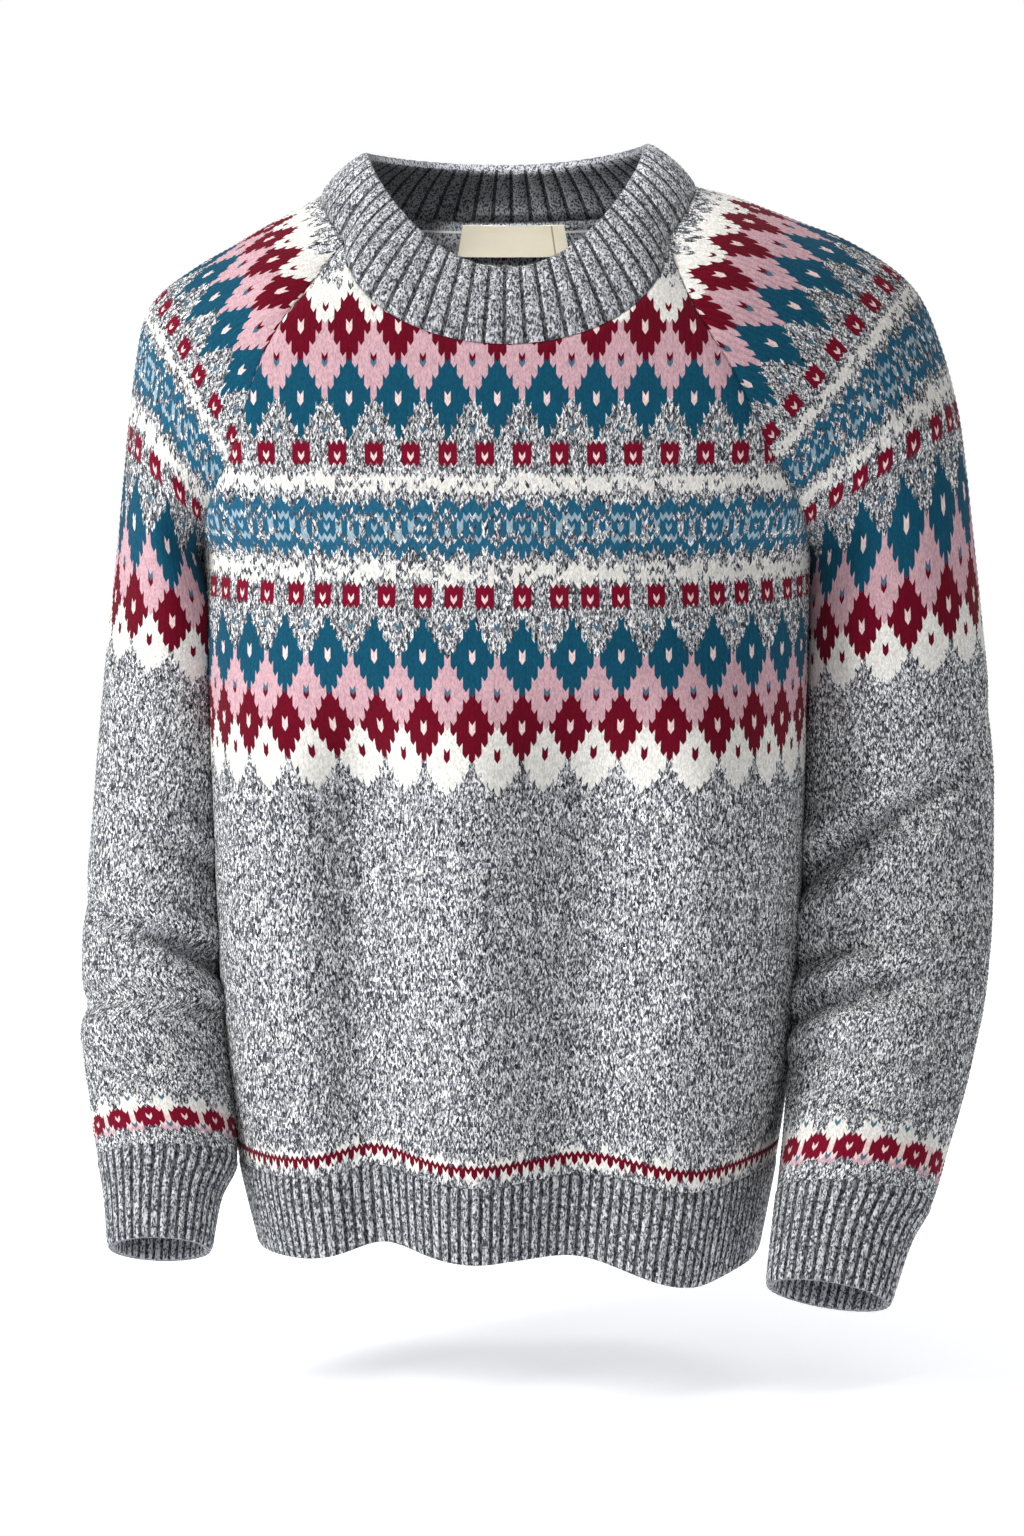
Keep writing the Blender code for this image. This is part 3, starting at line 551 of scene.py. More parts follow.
def leg_colours(yarn, chance):
    """Colours of the four faces of each leg of these stitches. In the marl each face takes a shade
    between the white strand and the charcoal one. The dyed yarns only vary a little.
    """
    legs = np.repeat(yarn, 2, axis=1)
    shape = legs.shape + (4,)
    plain = YARNS[legs][..., None, :] * chance.uniform(*DYE_SPREAD, shape + (1,))
    strand = 0.3 * chance.random(legs.shape + (1,)) + 0.7 * chance.random(shape)
    strand = np.clip((strand - 0.5) * STRAND_CONTRAST + 0.5, 0, 1)[..., None]
    marl = DARK_STRAND + (LIGHT_STRAND - DARK_STRAND) * strand
    shade = np.where((legs == MARL)[..., None, None], marl, plain)
    twist = np.where(legs == MARL, 1.0, DYED_TWIST)[..., None, None] * np.ones(shape + (1,))
    return np.concatenate([shade, twist], -1)


def wrong_side(yarn):
    """Colours of the inside of a patterned piece, where each yarn is dimmed by the floats."""
    legs = np.repeat(yarn, 2, axis=1)
    shade = YARNS[legs] * INSIDE_SHADE + YARNS[MARL] * INSIDE_MARL
    return np.concatenate([shade, np.where(legs == MARL, 1.0, INSIDE_TWIST)[..., None]], -1)


def add_node(tree, kind, values, links):
    """A shader node with these input values, fed by these other nodes' outputs."""
    node = tree.nodes.new(kind)
    for name, value in values.items():
        node.inputs[name].default_value = value
    for name, source in links.items():
        tree.links.new(source, node.inputs[name])
    return node


# The twist of the marl is about 1 mm thick and the tufts of fibre on it 0.67 mm. Both are drawn
# coarser than they are, because finer ones wouldn't show at this distance.
TWISTS_PER_MM, TUFTS_PER_MM = 1.0, 1.5


def yarn_material(name, roughness):
    """Yarn that takes its colour from the stitches, with the twist of its strands, fine tufts and
    the faint pale edge that loose fibres give it.
    """
    material = bpy.data.materials.new(name)
    material.use_nodes = True
    tree = material.node_tree
    tree.nodes.clear()
    yarn = add_node(tree, "ShaderNodeAttribute", {}, {})
    yarn.attribute_name = "yarn"
    place = add_node(tree, "ShaderNodeTexCoord", {}, {})
    stretch = add_node(
        tree, "ShaderNodeMapping", {"Scale": (1.0, 1.0, 0.45)},
        {"Vector": place.outputs["Object"]},
    )
    twist = add_node(
        tree, "ShaderNodeTexNoise",
        {"Scale": 1000 * TWISTS_PER_MM, "Detail": 1.0, "Roughness": 0.5},
        {"Vector": stretch.outputs["Vector"]},
    )
    strands = add_node(tree, "ShaderNodeValToRGB", {}, {"Fac": twist.outputs["Fac"]})
    for end, position, colour in ((0, 0.42, "#696C73"), (1, 0.54, "#FFFFFF")):
        strands.color_ramp.elements[end].position = position
        strands.color_ramp.elements[end].color = (*linear(colour), 1)
    fibres = add_node(
        tree, "ShaderNodeTexNoise",
        {"Scale": 1000 * TUFTS_PER_MM, "Detail": 2.0, "Roughness": 0.7},
        {"Vector": place.outputs["Object"]},
    )
    dyed = add_node(tree, "ShaderNodeMix", {}, {"Factor": yarn.outputs["Alpha"]})
    dyed.data_type = "RGBA"
    dyed.blend_type = "MULTIPLY"
    # Inputs 6 and 7 and output 2 are the node's colours
    tree.links.new(yarn.outputs["Color"], dyed.inputs[6])
    tree.links.new(strands.outputs["Color"], dyed.inputs[7])
    bump = add_node(
        tree, "ShaderNodeBump", {"Strength": 0.35, "Distance": 0.0005},
        {"Height": fibres.outputs["Fac"]},
    )
    wool = add_node(
        tree, "ShaderNodeBsdfPrincipled",
        {"Roughness": roughness, "Specular IOR Level": 0.12, "Sheen Weight": 0.06,
         "Sheen Roughness": 0.5},
        {"Base Color": dyed.outputs[2], "Normal": bump.outputs["Normal"]},
    )
    add_node(tree, "ShaderNodeOutputMaterial", {}, {"Surface": wool.outputs["BSDF"]})
    return material


# Brushed alpaca and wool: quite matt, soft at its edges, with no highlight on the folds
brushed_wool = yarn_material("brushed alpaca wool", 0.92)


def chart_numbers(first, last, first_column, count):
    """Row and column numbers of the stitches of a piece."""
    rows = np.arange(first, last)[:, None]
    columns = first_column + np.arange((count - 1) // 2)[None]
    return np.broadcast_arrays(rows, columns)


def body_panel(name, surface, first, above, flip, seed):
    """A panel of the body, from this knitted row down to the hem seam."""
    chance = np.random.default_rng(seed)
    underarm_row = int(np.floor((CHART_TOP - UNDERARM_Z) / ROW))
    points, outside, first_column = stitch_grid(
        surface, first, HEM_SEAM_ROW, underarm_row, above
    )
    row, column = chart_numbers(first, HEM_SEAM_ROW, first_column, points.shape[1])
    luck = chance.random(row.shape)
    yarn = fair_isle(row, column - BODY_SHIFT, luck)
    yarn = hem_stripe(yarn, row, column - BODY_SHIFT, luck, HEM_SEAM_ROW)
    return knitted(
        name, points, outside, leg_colours(yarn, chance), brushed_wool, flip,
        {"inside": wrong_side(yarn)}
    )


def front_cut(row, turn):
    """How far a place lies above the front neckline, in metres."""
    return row_z(row, turn, -1) - front_neck_z(turn) - 1e-7


front = body_panel("front_panel", front_surface, -37, front_cut, True, 11)
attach(front, "root")
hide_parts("front")


# Back panel
# The back of the body, knitted and linked like the front, with a higher neckline. Its inside
# shows through the neck opening: the wrong side of the yoke, with the colours of the chart.

BACK = np.array([
    # z, left side x, right side x, side y, middle y, roundness, from the neck down
    (-0.0060, 0.0940, 0.0940, 0.056, 0.0820, 1.3),
    (-0.0300, 0.1060, 0.1085, 0.074, 0.0920, 1.3),
    (-0.0550, 0.1190, 0.1230, 0.086, 0.0985, 1.3),
    (-0.0850, 0.1320, 0.1360, 0.092, 0.1045, 1.4),
    (-0.1120, 0.1420, 0.1445, 0.093, 0.1075, 1.5),
    (-0.1370, 0.1500, 0.1515, 0.089, 0.1095, 1.7),
    (-0.1580, 0.1570, 0.1580, 0.080, 0.1105, 1.8),
    (-0.1760, 0.1635, 0.1640, 0.066, 0.1110, 2.0),
    (-0.1920, 0.1695, 0.1700, 0.044, 0.1110, 2.1),
    (-0.2060, 0.1745, 0.1745, 0.0020, 0.1110, 2.2),
    (-0.2500, 0.1738, 0.1735, 0.0030, 0.1080, 2.3),
    (-0.3500, 0.1720, 0.1700, 0.0040, 0.1010, 2.3),
    (-0.4500, 0.1690, 0.1665, 0.0050, 0.1060, 2.3),
    (-0.5000, 0.1650, 0.1630, 0.0050, 0.1110, 2.3),
    (-0.5300, 0.1610, 0.1600, 0.0050, 0.1120, 2.3),
    (-0.5560, 0.1570, 0.1560, 0.0050, 0.1110, 2.3),
    (-0.6200, 0.1450, 0.1410, 0.0050, 0.1060, 2.3),
])
BACK_FOLDS = np.array([
    # place across the back, half-width, depth backward, lift
    (-0.55, 0.20, 0.0070, 0.0),
    (-0.05, 0.22, -0.0080, 0.0),
    (0.45, 0.20, 0.0080, 0.0),
])
BACK_NECK_Z = -0.0130


def back_point(turn, z):
    return body_point(BACK, BACK_FOLDS, 1, turn, z)


def back_neck_z(turn):
    """Height of the back neckline, which dips in the middle."""
    middle = np.clip(np.cos(np.asarray(turn) * np.pi / 2), 0, 1)
    return BACK[0, 0] + (BACK_NECK_Z - BACK[0, 0]) * middle**1.5


def back_surface(row, turn):
    return back_point(turn, row_z(row, turn, 1))


def back_cut(row, turn):
    """How far a place lies above the back neckline, in metres."""
    return row_z(row, turn, 1) - back_neck_z(turn) - 1e-7


back = body_panel("back_panel", back_surface, -44, back_cut, False, 12)
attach(back, "root")
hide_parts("back")


# Sleeves
# Two sleeves with raglan caps, of the same yarn as the body, each knitted flat and linked along
# the underarm. The rows run round the arm, so the yoke's bands slope down from the shoulder to the
# raglan seams.

LEFT_CREST = np.array([
    # x, z, share of a half turn covered, from the neck to the underarm
    (0.1075, 0.0030, 0.41), (0.1280, -0.0015, 0.42), (0.1460, -0.0075, 0.43),
    (0.1700, -0.0165, 0.44), (0.1940, -0.0258, 0.455), (0.2200, -0.0415, 0.48),
    (0.2365, -0.0585, 0.53), (0.2490, -0.0880, 0.62), (0.2590, -0.1250, 0.76),
    (0.2645, -0.1600, 1.0),
])
RIGHT_CREST = np.array([
    # the same, with x to the right
    (0.1055, -0.0020, 0.41), (0.1210, -0.0100, 0.42), (0.1390, -0.0190, 0.43),
    (0.1570, -0.0295, 0.44), (0.1770, -0.0410, 0.455), (0.1970, -0.0555, 0.48),
    (0.2070, -0.0710, 0.53), (0.2125, -0.1000, 0.62), (0.2170, -0.1380, 0.76),
    (0.2210, -0.1720, 1.0),
])
LEFT_ARM = np.array([
    # outer x, outer z, inner x, inner z, middle y, half depth, forward tilt in degrees,
    # from the underarm to the end of the cuff
    (0.2645, -0.1600, 0.1745, -0.2060, 0.002, 0.0600, 0),
    (0.2710, -0.2140, 0.1720, -0.2420, 0.004, 0.0575, 0),
    (0.2765, -0.2620, 0.1715, -0.2820, 0.006, 0.0555, 0),
    (0.2805, -0.3080, 0.1705, -0.3220, 0.007, 0.0535, 0),
    (0.2825, -0.3500, 0.1690, -0.3590, 0.005, 0.0520, 3),
    (0.2820, -0.3950, 0.1660, -0.3980, -0.003, 0.0510, 8),
    (0.2795, -0.4350, 0.1650, -0.4340, -0.016, 0.0500, 14),
    (0.2735, -0.4720, 0.1635, -0.4680, -0.031, 0.0480, 19),
    (0.2640, -0.5070, 0.1615, -0.5010, -0.046, 0.0460, 22),
    (0.2530, -0.5400, 0.1585, -0.5320, -0.060, 0.0440, 23),
    (0.2420, -0.5710, 0.1545, -0.5630, -0.074, 0.0390, 25),
    (0.2290, -0.5920, 0.1515, -0.5830, -0.084, 0.0320, 26),
    (0.2165, -0.6250, 0.1475, -0.6130, -0.098, 0.0300, 27),
])
RIGHT_ARM = np.array([
    # the same, with x to the right
    (0.2210, -0.1720, 0.1745, -0.2060, 0.002, 0.0610, 0),
    (0.2265, -0.2170, 0.1600, -0.2430, 0.012, 0.0600, 0),
    (0.2325, -0.2620, 0.1560, -0.2800, 0.021, 0.0590, 0),
    (0.2375, -0.3080, 0.1550, -0.3220, 0.026, 0.0580, 0),
    (0.2415, -0.3520, 0.1560, -0.3620, 0.026, 0.0560, 2),
    (0.2450, -0.3960, 0.1580, -0.4020, 0.020, 0.0540, 6),
    (0.2475, -0.4320, 0.1600, -0.4360, 0.010, 0.0520, 12),
    (0.2470, -0.4660, 0.1600, -0.4690, -0.003, 0.0500, 17),
    (0.2450, -0.4980, 0.1590, -0.4990, -0.016, 0.0475, 20),
    (0.2405, -0.5260, 0.1570, -0.5260, -0.029, 0.0450, 22),
    (0.2350, -0.5520, 0.1560, -0.5510, -0.042, 0.0390, 24),
    (0.2305, -0.5720, 0.1650, -0.5720, -0.053, 0.0320, 25),
    (0.2275, -0.5990, 0.1700, -0.6000, -0.066, 0.0290, 26),
])
LEFT_CREASES = np.array([
    # row, turn from the outermost point (negative in front), half-height, half-width, depth, slope
    (16.00, -1.10, 0.35, 0.80, 0.0030, 0.35), (17.60, -1.80, 0.30, 0.90, 0.0040, 0.35),
    (12.75, -2.00, 0.28, 1.10, -0.0050, -0.80), (13.28, -2.00, 0.24, 1.20, 0.0125, -0.80),
    (13.90, -1.90, 0.30, 1.10, -0.0060, -0.75), (14.60, -2.10, 0.26, 0.80, 0.0040, -0.50),
    (15.10, -2.30, 0.17, 0.75, 0.0085, -0.30), (15.45, -2.10, 0.18, 0.80, -0.0050, -0.30),
    (15.83, -2.00, 0.18, 1.00, 0.0100, -0.36), (16.35, -2.00, 0.22, 1.00, -0.0055, -0.20),
    (16.90, -2.10, 0.18, 0.90, 0.0050, 0.10),
])
RIGHT_CREASES = np.array([
    # the same
    (15.40, -1.30, 0.35, 0.90, 0.0020, 0.35), (17.30, -1.20, 0.30, 0.90, 0.0035, 0.35),
    (13.25, -2.00, 0.26, 0.90, -0.0040, -0.50), (13.70, -2.40, 0.20, 0.90, 0.0075, -0.50),
    (14.70, -2.10, 0.28, 1.00, -0.0055, -0.45), (15.20, -2.20, 0.21, 1.05, 0.0135, -0.44),
    (15.80, -2.20, 0.24, 0.90, -0.0060, -0.35), (16.05, -0.80, 0.20, 0.90, 0.0070, 0.00),
    (16.55, -1.30, 0.22, 1.20, -0.0035, 0.05), (14.60, -0.90, 0.25, 0.80, 0.0040, -0.20),
])
ARM_GAP = 0.0012  # between the sleeves and the body that they hang against
CAP_END = 8.25  # from this row of the tables to row 9 the cap runs straight into the arm
SLEEVE_TOP, SLEEVE_END = -33, 170
# Knitted rows of the chart against the numbers of the tables above
CHART_ROWS = np.array([-33, -27, 1.5, 28, 51.5, 79.5, 170])
TABLE_ROWS = np.array([0, 0.9, 5, 8, 10.2, 12, 19])


def body_half_width(side, y, z):
    """How far out the side of the body is at this depth and height, without its folds."""
    both = zip(panel_numbers(FRONT, z), panel_numbers(BACK, z))
    left, right, side_y, middle_y, power = (np.where(y < 0, f, b) for f, b in both)
    wide = left if side > 0 else right
    share = np.clip((y - side_y) / (middle_y - side_y), 0, 1)
    return wide * (1 - share**power) ** (1 / power)


def sleeve_point(side, row, turn):
    """Points of a sleeve, side 1 for the left one and -1 for the right one. Rows of the tables 0
    to 9 are the cap, 9 to 19 the arm and 19 to 21 the cuff.

    turn goes from -1 at the front seam or underarm, over the outermost point, to 1 at the back.
    """
    row, turn = np.broadcast_arrays(np.asarray(row, float), np.asarray(turn, float))
    crest = LEFT_CREST if side > 0 else RIGHT_CREST
    arm = LEFT_ARM if side > 0 else RIGHT_ARM
    column = 1 if side > 0 else 2
    cap, down = np.clip(row, 0, 9), np.clip(row, 9, 21)

    # The cap: arcs from raglan seam to raglan seam, over the crest
    numbers = np.arange(10)
    seams = []
    for table in (FRONT, BACK):
        z = curve(numbers, table[:10, 0], cap)
        x, y = (curve(table[:, 0], table[:, k], z) for k in (column, 3))
        seams.append(np.stack([side * x, y, z], -1))
    front, back = seams
    top_x, top_z, share = (curve(numbers, crest[:, k], cap) for k in range(3))
    reach = share * np.pi
    middle = (front + back) / 2
    top = np.stack([side * top_x, middle[..., 1], top_z], -1)
    length = np.linalg.norm(top - middle, axis=-1)
    out = (top - middle) / length[..., None]
    wide = length / (1 - np.cos(reach))
    apart = np.linalg.norm(back - front, axis=-1)
    arm_numbers = np.arange(9, 22)
    half_depth = curve(arm_numbers, arm[:, 5], down)
    open_arc = reach < 0.999 * np.pi
    deep = np.where(open_arc, apart / (2 * np.maximum(np.sin(reach), 1e-4)), half_depth)
    straight_back = np.array([0.0, 1.0, 0.0])
    across = (back - front) / np.maximum(apart, 1e-9)[..., None]
    depth_way = np.where(apart[..., None] > 1e-6, across, straight_back)
    centre = top - wide[..., None] * out

    # The arm and the cuff: whole ovals that lean forward
    ox, oz, ix, iz, my, _, tilt = (curve(arm_numbers, arm[:, k], down) for k in range(7))
    outer, inner = np.stack([side * ox, my, oz], -1), np.stack([side * ix, my, iz], -1)
    lean = np.radians(tilt)
    is_arm = (row > 9)[..., None]
    centre = np.where(is_arm, (outer + inner) / 2, centre)
    arm_wide = np.linalg.norm(outer - inner, axis=-1) / 2
    out = np.where(is_arm, (outer - inner) / (2 * arm_wide[..., None]), out)
    leaning = np.stack([0 * lean, np.cos(lean), -np.sin(lean)], -1)
    depth_way = np.where(is_arm, leaning, depth_way)
    wide, deep = np.where(row > 9, arm_wide, wide), np.where(row > 9, half_depth, deep)
    reach = np.where(row > 9, np.pi, reach)
    angle = turn * reach

    # The creases, and the side that lies against the body
    for at, place, high, broad, depth, slope in LEFT_CREASES if side > 0 else RIGHT_CREASES:
        off = (angle - place + np.pi) % (2 * np.pi) - np.pi
        press = depth * np.exp(-(((row - at - slope * off) / high) ** 2) - (off / broad) ** 2)
        wide, deep = wide - press, deep - press
    points = centre + (wide * np.cos(angle))[..., None] * out
    points = points + (deep * np.sin(angle))[..., None] * depth_way
    room = ARM_GAP * np.clip((row - 9) / 1.0, 0, 1)
    limit = body_half_width(side, points[..., 1], points[..., 2]) + room
    blend = np.clip((row - 9) / 0.6, 0, 1) * np.clip((19.5 - row) / 1.5, 0, 1)
    pushed = np.maximum(side * points[..., 0], limit)
    points[..., 0] = side * (side * points[..., 0] * (1 - blend) + pushed * blend)
    return points


FLOWER = np.array([3, 5, 5, 5, 3])  # widths in stitches, row by row


def cuff_band(yarn, row, column, chance, end):
    """Adds the band of small flowers, 6 stitches or 20 mm apart, above the cuff's seam, which is
    at this row.
    """
    k = row - end + 14
    away, beside = (np.abs(from_middle(column, middle, 6)) for middle in (0, 3))
    peak = np.array([0, 1, 1, 2])[np.clip(k, 0, 3)]
    yarn = np.where((k >= 0) & (k < 4) & (beside <= peak), CREAM, yarn)
    yarn = np.where((k == 1) & (beside == 0), SLATE, yarn)
    yarn = np.where((k >= 4) & (k < 6), np.where(chance < 0.6, CREAM, PALE_PINK), yarn)
    yarn = np.where((k >= 6) & (k < 9) & (beside <= 11 - k), PALE_PINK, yarn)
    yarn = np.where((k == 9) & (beside <= 1), PINK, yarn)
    yarn = np.where((k == 8) & (beside == 0), SLATE, yarn)
    petals = FLOWER[np.clip(k - 4, 0, 4)]
    yarn = np.where((k >= 4) & (k < 9) & (2 * away < petals), CRIMSON, yarn)
    return np.where((k == 6) & (away == 0), PALE_PINK, yarn)


def sleeve(side, name, seed):
    """A whole sleeve, from the neck seam to the cuff's seam."""
    chance = np.random.default_rng(seed)

    def surface(row, turn):
        row = curve(CHART_ROWS, TABLE_ROWS, row)
        near = (row > CAP_END) & (row < 9)
        share = (np.where(near, row - CAP_END, 0) / (9 - CAP_END))[..., None]
        above = sleeve_point(side, np.where(near, CAP_END, row), turn)
        return above + (sleeve_point(side, 9.0, turn) - above) * share

    points, outside, first_column = stitch_grid(surface, SLEEVE_TOP, SLEEVE_END, SLEEVE_END)
    row, column = chart_numbers(SLEEVE_TOP, SLEEVE_END, first_column, points.shape[1])
    luck = chance.random(row.shape)
    yarn = fair_isle(row, column, luck)
    yarn = cuff_band(yarn, row, column, luck, SLEEVE_END)
    return knitted(
        name, points, outside, leg_colours(yarn, chance), brushed_wool, side > 0,
        {"inside": wrong_side(yarn)}
    )


for side, word, seed in ((1, "left", 13), (-1, "right", 14)):
    arm = sleeve(side, f"{word}_sleeve", seed)
    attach(arm, "root")
    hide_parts(f"sleeve_{word}")


# Neckband
# A raised crew neckband in two-by-one rib, of the plain marl. It is linked to the neck edge of
# the panels and sleeves and leans in to its rim. Its inside shows at the back.

RIB_RISE = 0.0013  # height of a rib above its furrows
RIB_LEG_RISE = 0.0004  # height of a leg of yarn on a rib
END_RISES = (0.2, 0.3)  # the share of a rib's height that is left at the seam and at the edge
RIB_INSIDE = -0.8  # the inside has furrows where the outside has ribs, a little shallower
NECK_RIBS, NECK_ROWS, BAND_CLOTH = 64, 14, 0.0034
BAND_BULGE = 0.0030  # how far the band rounds out between its seam and its rim
RIM_X, RIM_FRONT_Y, RIM_BACK_Y = 0.0790, -0.0980, 0.0600
RIM_FRONT_Z, RIM_LEFT_Z, RIM_RIGHT_Z, RIM_BACK_Z = -0.0405, 0.0285, 0.0235, 0.0180
# How bright the marl is coloured on the ribs and in the furrows; the furrows' dark is painted shade
RIB_SHADE, FURROW_PAINTED_SHADE = 0.90, 0.20
RIB_CONTRAST = 0.55  # how far the legs differ, against those of the panels
# The shares of a rib's width that its stitches take, the last one in the furrow
NECK_STITCHES, FINE_STITCHES = (0.39, 0.39, 0.22), (0.62, 0.38)
# Firmer spun wool: quite matt, with light ribs and dark furrows between them, whose dark is painted
# shade in the stitch colours
rib_wool = yarn_material("marled rib wool", 0.95)


def rim_point(place):
    """The top edge of the neckband, at this share of the way round from the middle of the front."""
    angle = 2 * np.pi * np.asarray(place)
    x = RIM_X * np.sin(angle)
    forward = (1 + np.cos(angle)) / 2
    y = RIM_BACK_Y + (RIM_FRONT_Y - RIM_BACK_Y) * forward
    side_z = np.where(x > 0, RIM_LEFT_Z, RIM_RIGHT_Z)
    end_z = np.where(np.cos(angle) > 0, RIM_FRONT_Z, RIM_BACK_Z)
    z = side_z + (end_z - side_z) * np.abs(np.cos(angle)) ** 1.7
    return np.stack([x, y, z], -1)


def rib_ring(line, ribs, widths):
    """Points round a closed line for this many ribs, two to a stitch, with the first repeated."""
    steps = np.linalg.norm(np.diff(line, axis=0), axis=1)
    places = np.concatenate([[0], np.cumsum(steps)]) / steps.sum()
    halves = np.cumsum(np.repeat(np.array(widths) / 2, 2))
    at = np.append(0, (np.arange(ribs)[:, None] + halves[None]).ravel() / ribs)
    ring = np.stack([np.interp(at, places, line[:, k]) for k in range(3)], 1)
    ring[-1] = ring[0]
    return ring


def neck_line():
    """The neck seam, from the middle of the front round by the left sleeve and the back."""
    near, far = np.linspace(0, 1, 60), np.linspace(1, -1, 60)
    front_left = front_point(near, front_neck_z(near))
    front_right = front_point(near - 1, front_neck_z(near - 1))
    return np.concatenate([
        front_left, sleeve_point(1, 0, -far)[1:], back_point(far, back_neck_z(far))[1:],
        sleeve_point(-1, 0, far)[1:], front_right[1:],
    ])


def rib_colours(rows, columns, purl, chance):
    """Colours of a ribbed band, outside and inside: the marl, far darker in the furrows by painted
    shade.
    """
    # Painted shade: the furrows are coloured far darker than the ribs
    shade = np.where(np.repeat(purl, 2), FURROW_PAINTED_SHADE, RIB_SHADE)[:, None]
    painted_shade_and_tone = np.concatenate([np.tile(shade, 3), np.ones_like(shade)], 1)
    marl = np.append(YARNS[MARL], 1.0)
    legs = leg_colours(np.full((rows, columns), MARL), chance)
    colours = RIB_CONTRAST * legs + (1 - RIB_CONTRAST) * marl
    colours = colours * painted_shade_and_tone[None, :, None]
    inside = np.tile([*YARNS[MARL], 1.0], (rows, 2 * columns, 1)) * painted_shade_and_tone[None]
    return colours, inside


def ribbed(name, levels, ribs, per_rib, knit, seed, wall, flip):
    """A ribbed ring from its seam to its edge. The first stitches of each rib, knit of them, stand
    up, less so in the first and the last row.
    """
    rows, count = len(levels), ribs * per_rib * 2
    points = np.stack(levels)
    column = np.arange(ribs * per_rib) % per_rib
    up = (column < knit).astype(float)
    half = np.repeat(up, 2)
    height = (half + np.roll(half, 1)) / 2
    height = np.append(height, height[0])
    ends = np.ones(rows)
    ends[0], ends[-1] = END_RISES
    lift = RIB_RISE * ends[:, None] * height[None]
    chance = np.random.default_rng(seed)
    colours, inside = rib_colours(rows - 1, ribs * per_rib, column >= knit, chance)
    options = {
        "lift": lift, "rise": RIB_LEG_RISE, "steps": (2, 1), "wall": wall,
        "inner_lift": RIB_INSIDE, "inside": inside,
    }
    no_edge = np.zeros((rows, count + 1), bool)
    return knitted(name, points, no_edge, colours, rib_wool, flip, options)


seam = rib_ring(neck_line(), NECK_RIBS, NECK_STITCHES)
rim = rib_ring(rim_point(np.linspace(0, 1, 200)), NECK_RIBS, NECK_STITCHES)
tangent = np.roll(seam[:-1], -1, 0) - np.roll(seam[:-1], 1, 0)
bulge = unit(np.cross(tangent, (rim - seam)[:-1]))
bulge = np.concatenate([bulge, bulge[:1]])
outward = np.sum(bulge * (seam - seam[:-1].mean(0)), axis=1).sum()
bulge = bulge * np.sign(outward)
levels = [
    seam + (rim - seam) * t + bulge * BAND_BULGE * 4 * t * (1 - t)
    for t in np.linspace(0, 1, NECK_ROWS + 1)
]
neckband = ribbed("neckband_rib", levels, NECK_RIBS, 3, 2, 15, BAND_CLOTH, False)
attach(neckband, "root")
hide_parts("neckband")


# Hem rib
# A one-by-one ribbed band of the marl that draws the lower edge in, linked to the front and
# back panels all round. It waves with their folds.

HEM_RIBS, HEM_ROWS = 150, 16


def hem_edge_z(turn, facing):
    """Height of the lower edge, which rises in the middle, at the front more so on the right."""
    turn = np.asarray(turn, float)
    rise = 0.0170 - 0.0130 * np.clip(turn / 0.5, 0, 1) if facing < 0 else 0.0110
    return -0.6110 + rise * np.clip(np.cos(turn * np.pi / 2), 0, 1) ** 0.7


def hem_level(share):
    """A ring of the hem rib between its seam and its edge, from the right side round the front."""
    turns = np.linspace(-1, 1, 240)
    halves = []
    for point, facing, way in ((front_point, -1, turns), (back_point, 1, -turns)):
        z = hem_seam_z(way, facing) * (1 - share) + hem_edge_z(way, facing) * share
        halves.append(point(way, z))
    return rib_ring(np.concatenate([halves[0], halves[1][1:]]), HEM_RIBS, FINE_STITCHES)


levels = [hem_level(share) for share in np.linspace(0, 1, HEM_ROWS + 1)]
hem = ribbed("hem_rib_knit", levels, HEM_RIBS, 2, 1, 16, CLOTH, True)
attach(hem, "root")
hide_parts("hem_rib")


# Cuffs
# Two short tubes in the same one-by-one rib and marl as the hem, linked to the ends of the
# sleeves and open at the hand.

CUFF_RIBS, CUFF_ROWS = 36, 17

for side, word, seed in ((1, "left", 17), (-1, "right", 18)):
    turns = np.linspace(-1, 1, 161)
    levels = [
        rib_ring(sleeve_point(side, row, turns), CUFF_RIBS, FINE_STITCHES)
        for row in np.linspace(19, 21, CUFF_ROWS + 1)
    ]
    cuff = ribbed(f"{word}_cuff", levels, CUFF_RIBS, 2, 1, seed, CLOTH, side > 0)
    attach(cuff, "root")
    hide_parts(f"cuff_{word}")


# Neck tape
# A narrow strip knitted of the marl and sewn flat over the neck seam inside the back, with the
# light line of its linking stitches along it.

TAPE_X, TAPE_TOP, TAPE_HEIGHT, TAPE_CLOTH = 0.0640, 0.0030, 0.0110, 0.0010
TAPE_ROWS, TAPE_COLUMNS, LINKING_ROW = 8, 40, 2
TAPE_SHADE = 0.8  # how dark the marl is, as in a plain knit
SEWN_GAP = 0.0005  # between a sewn-on piece and what is under it


def back_turn(x):
    """The turn of the back panel at this distance from the middle, near the neckline."""
    wide = curve(BACK[:, 0], BACK[:, 1], np.float64(BACK_NECK_Z))
    return np.sign(x) * np.arcsin(np.clip(np.abs(x) / wide, 0, 1) ** (1.9 / 2)) * 2 / np.pi


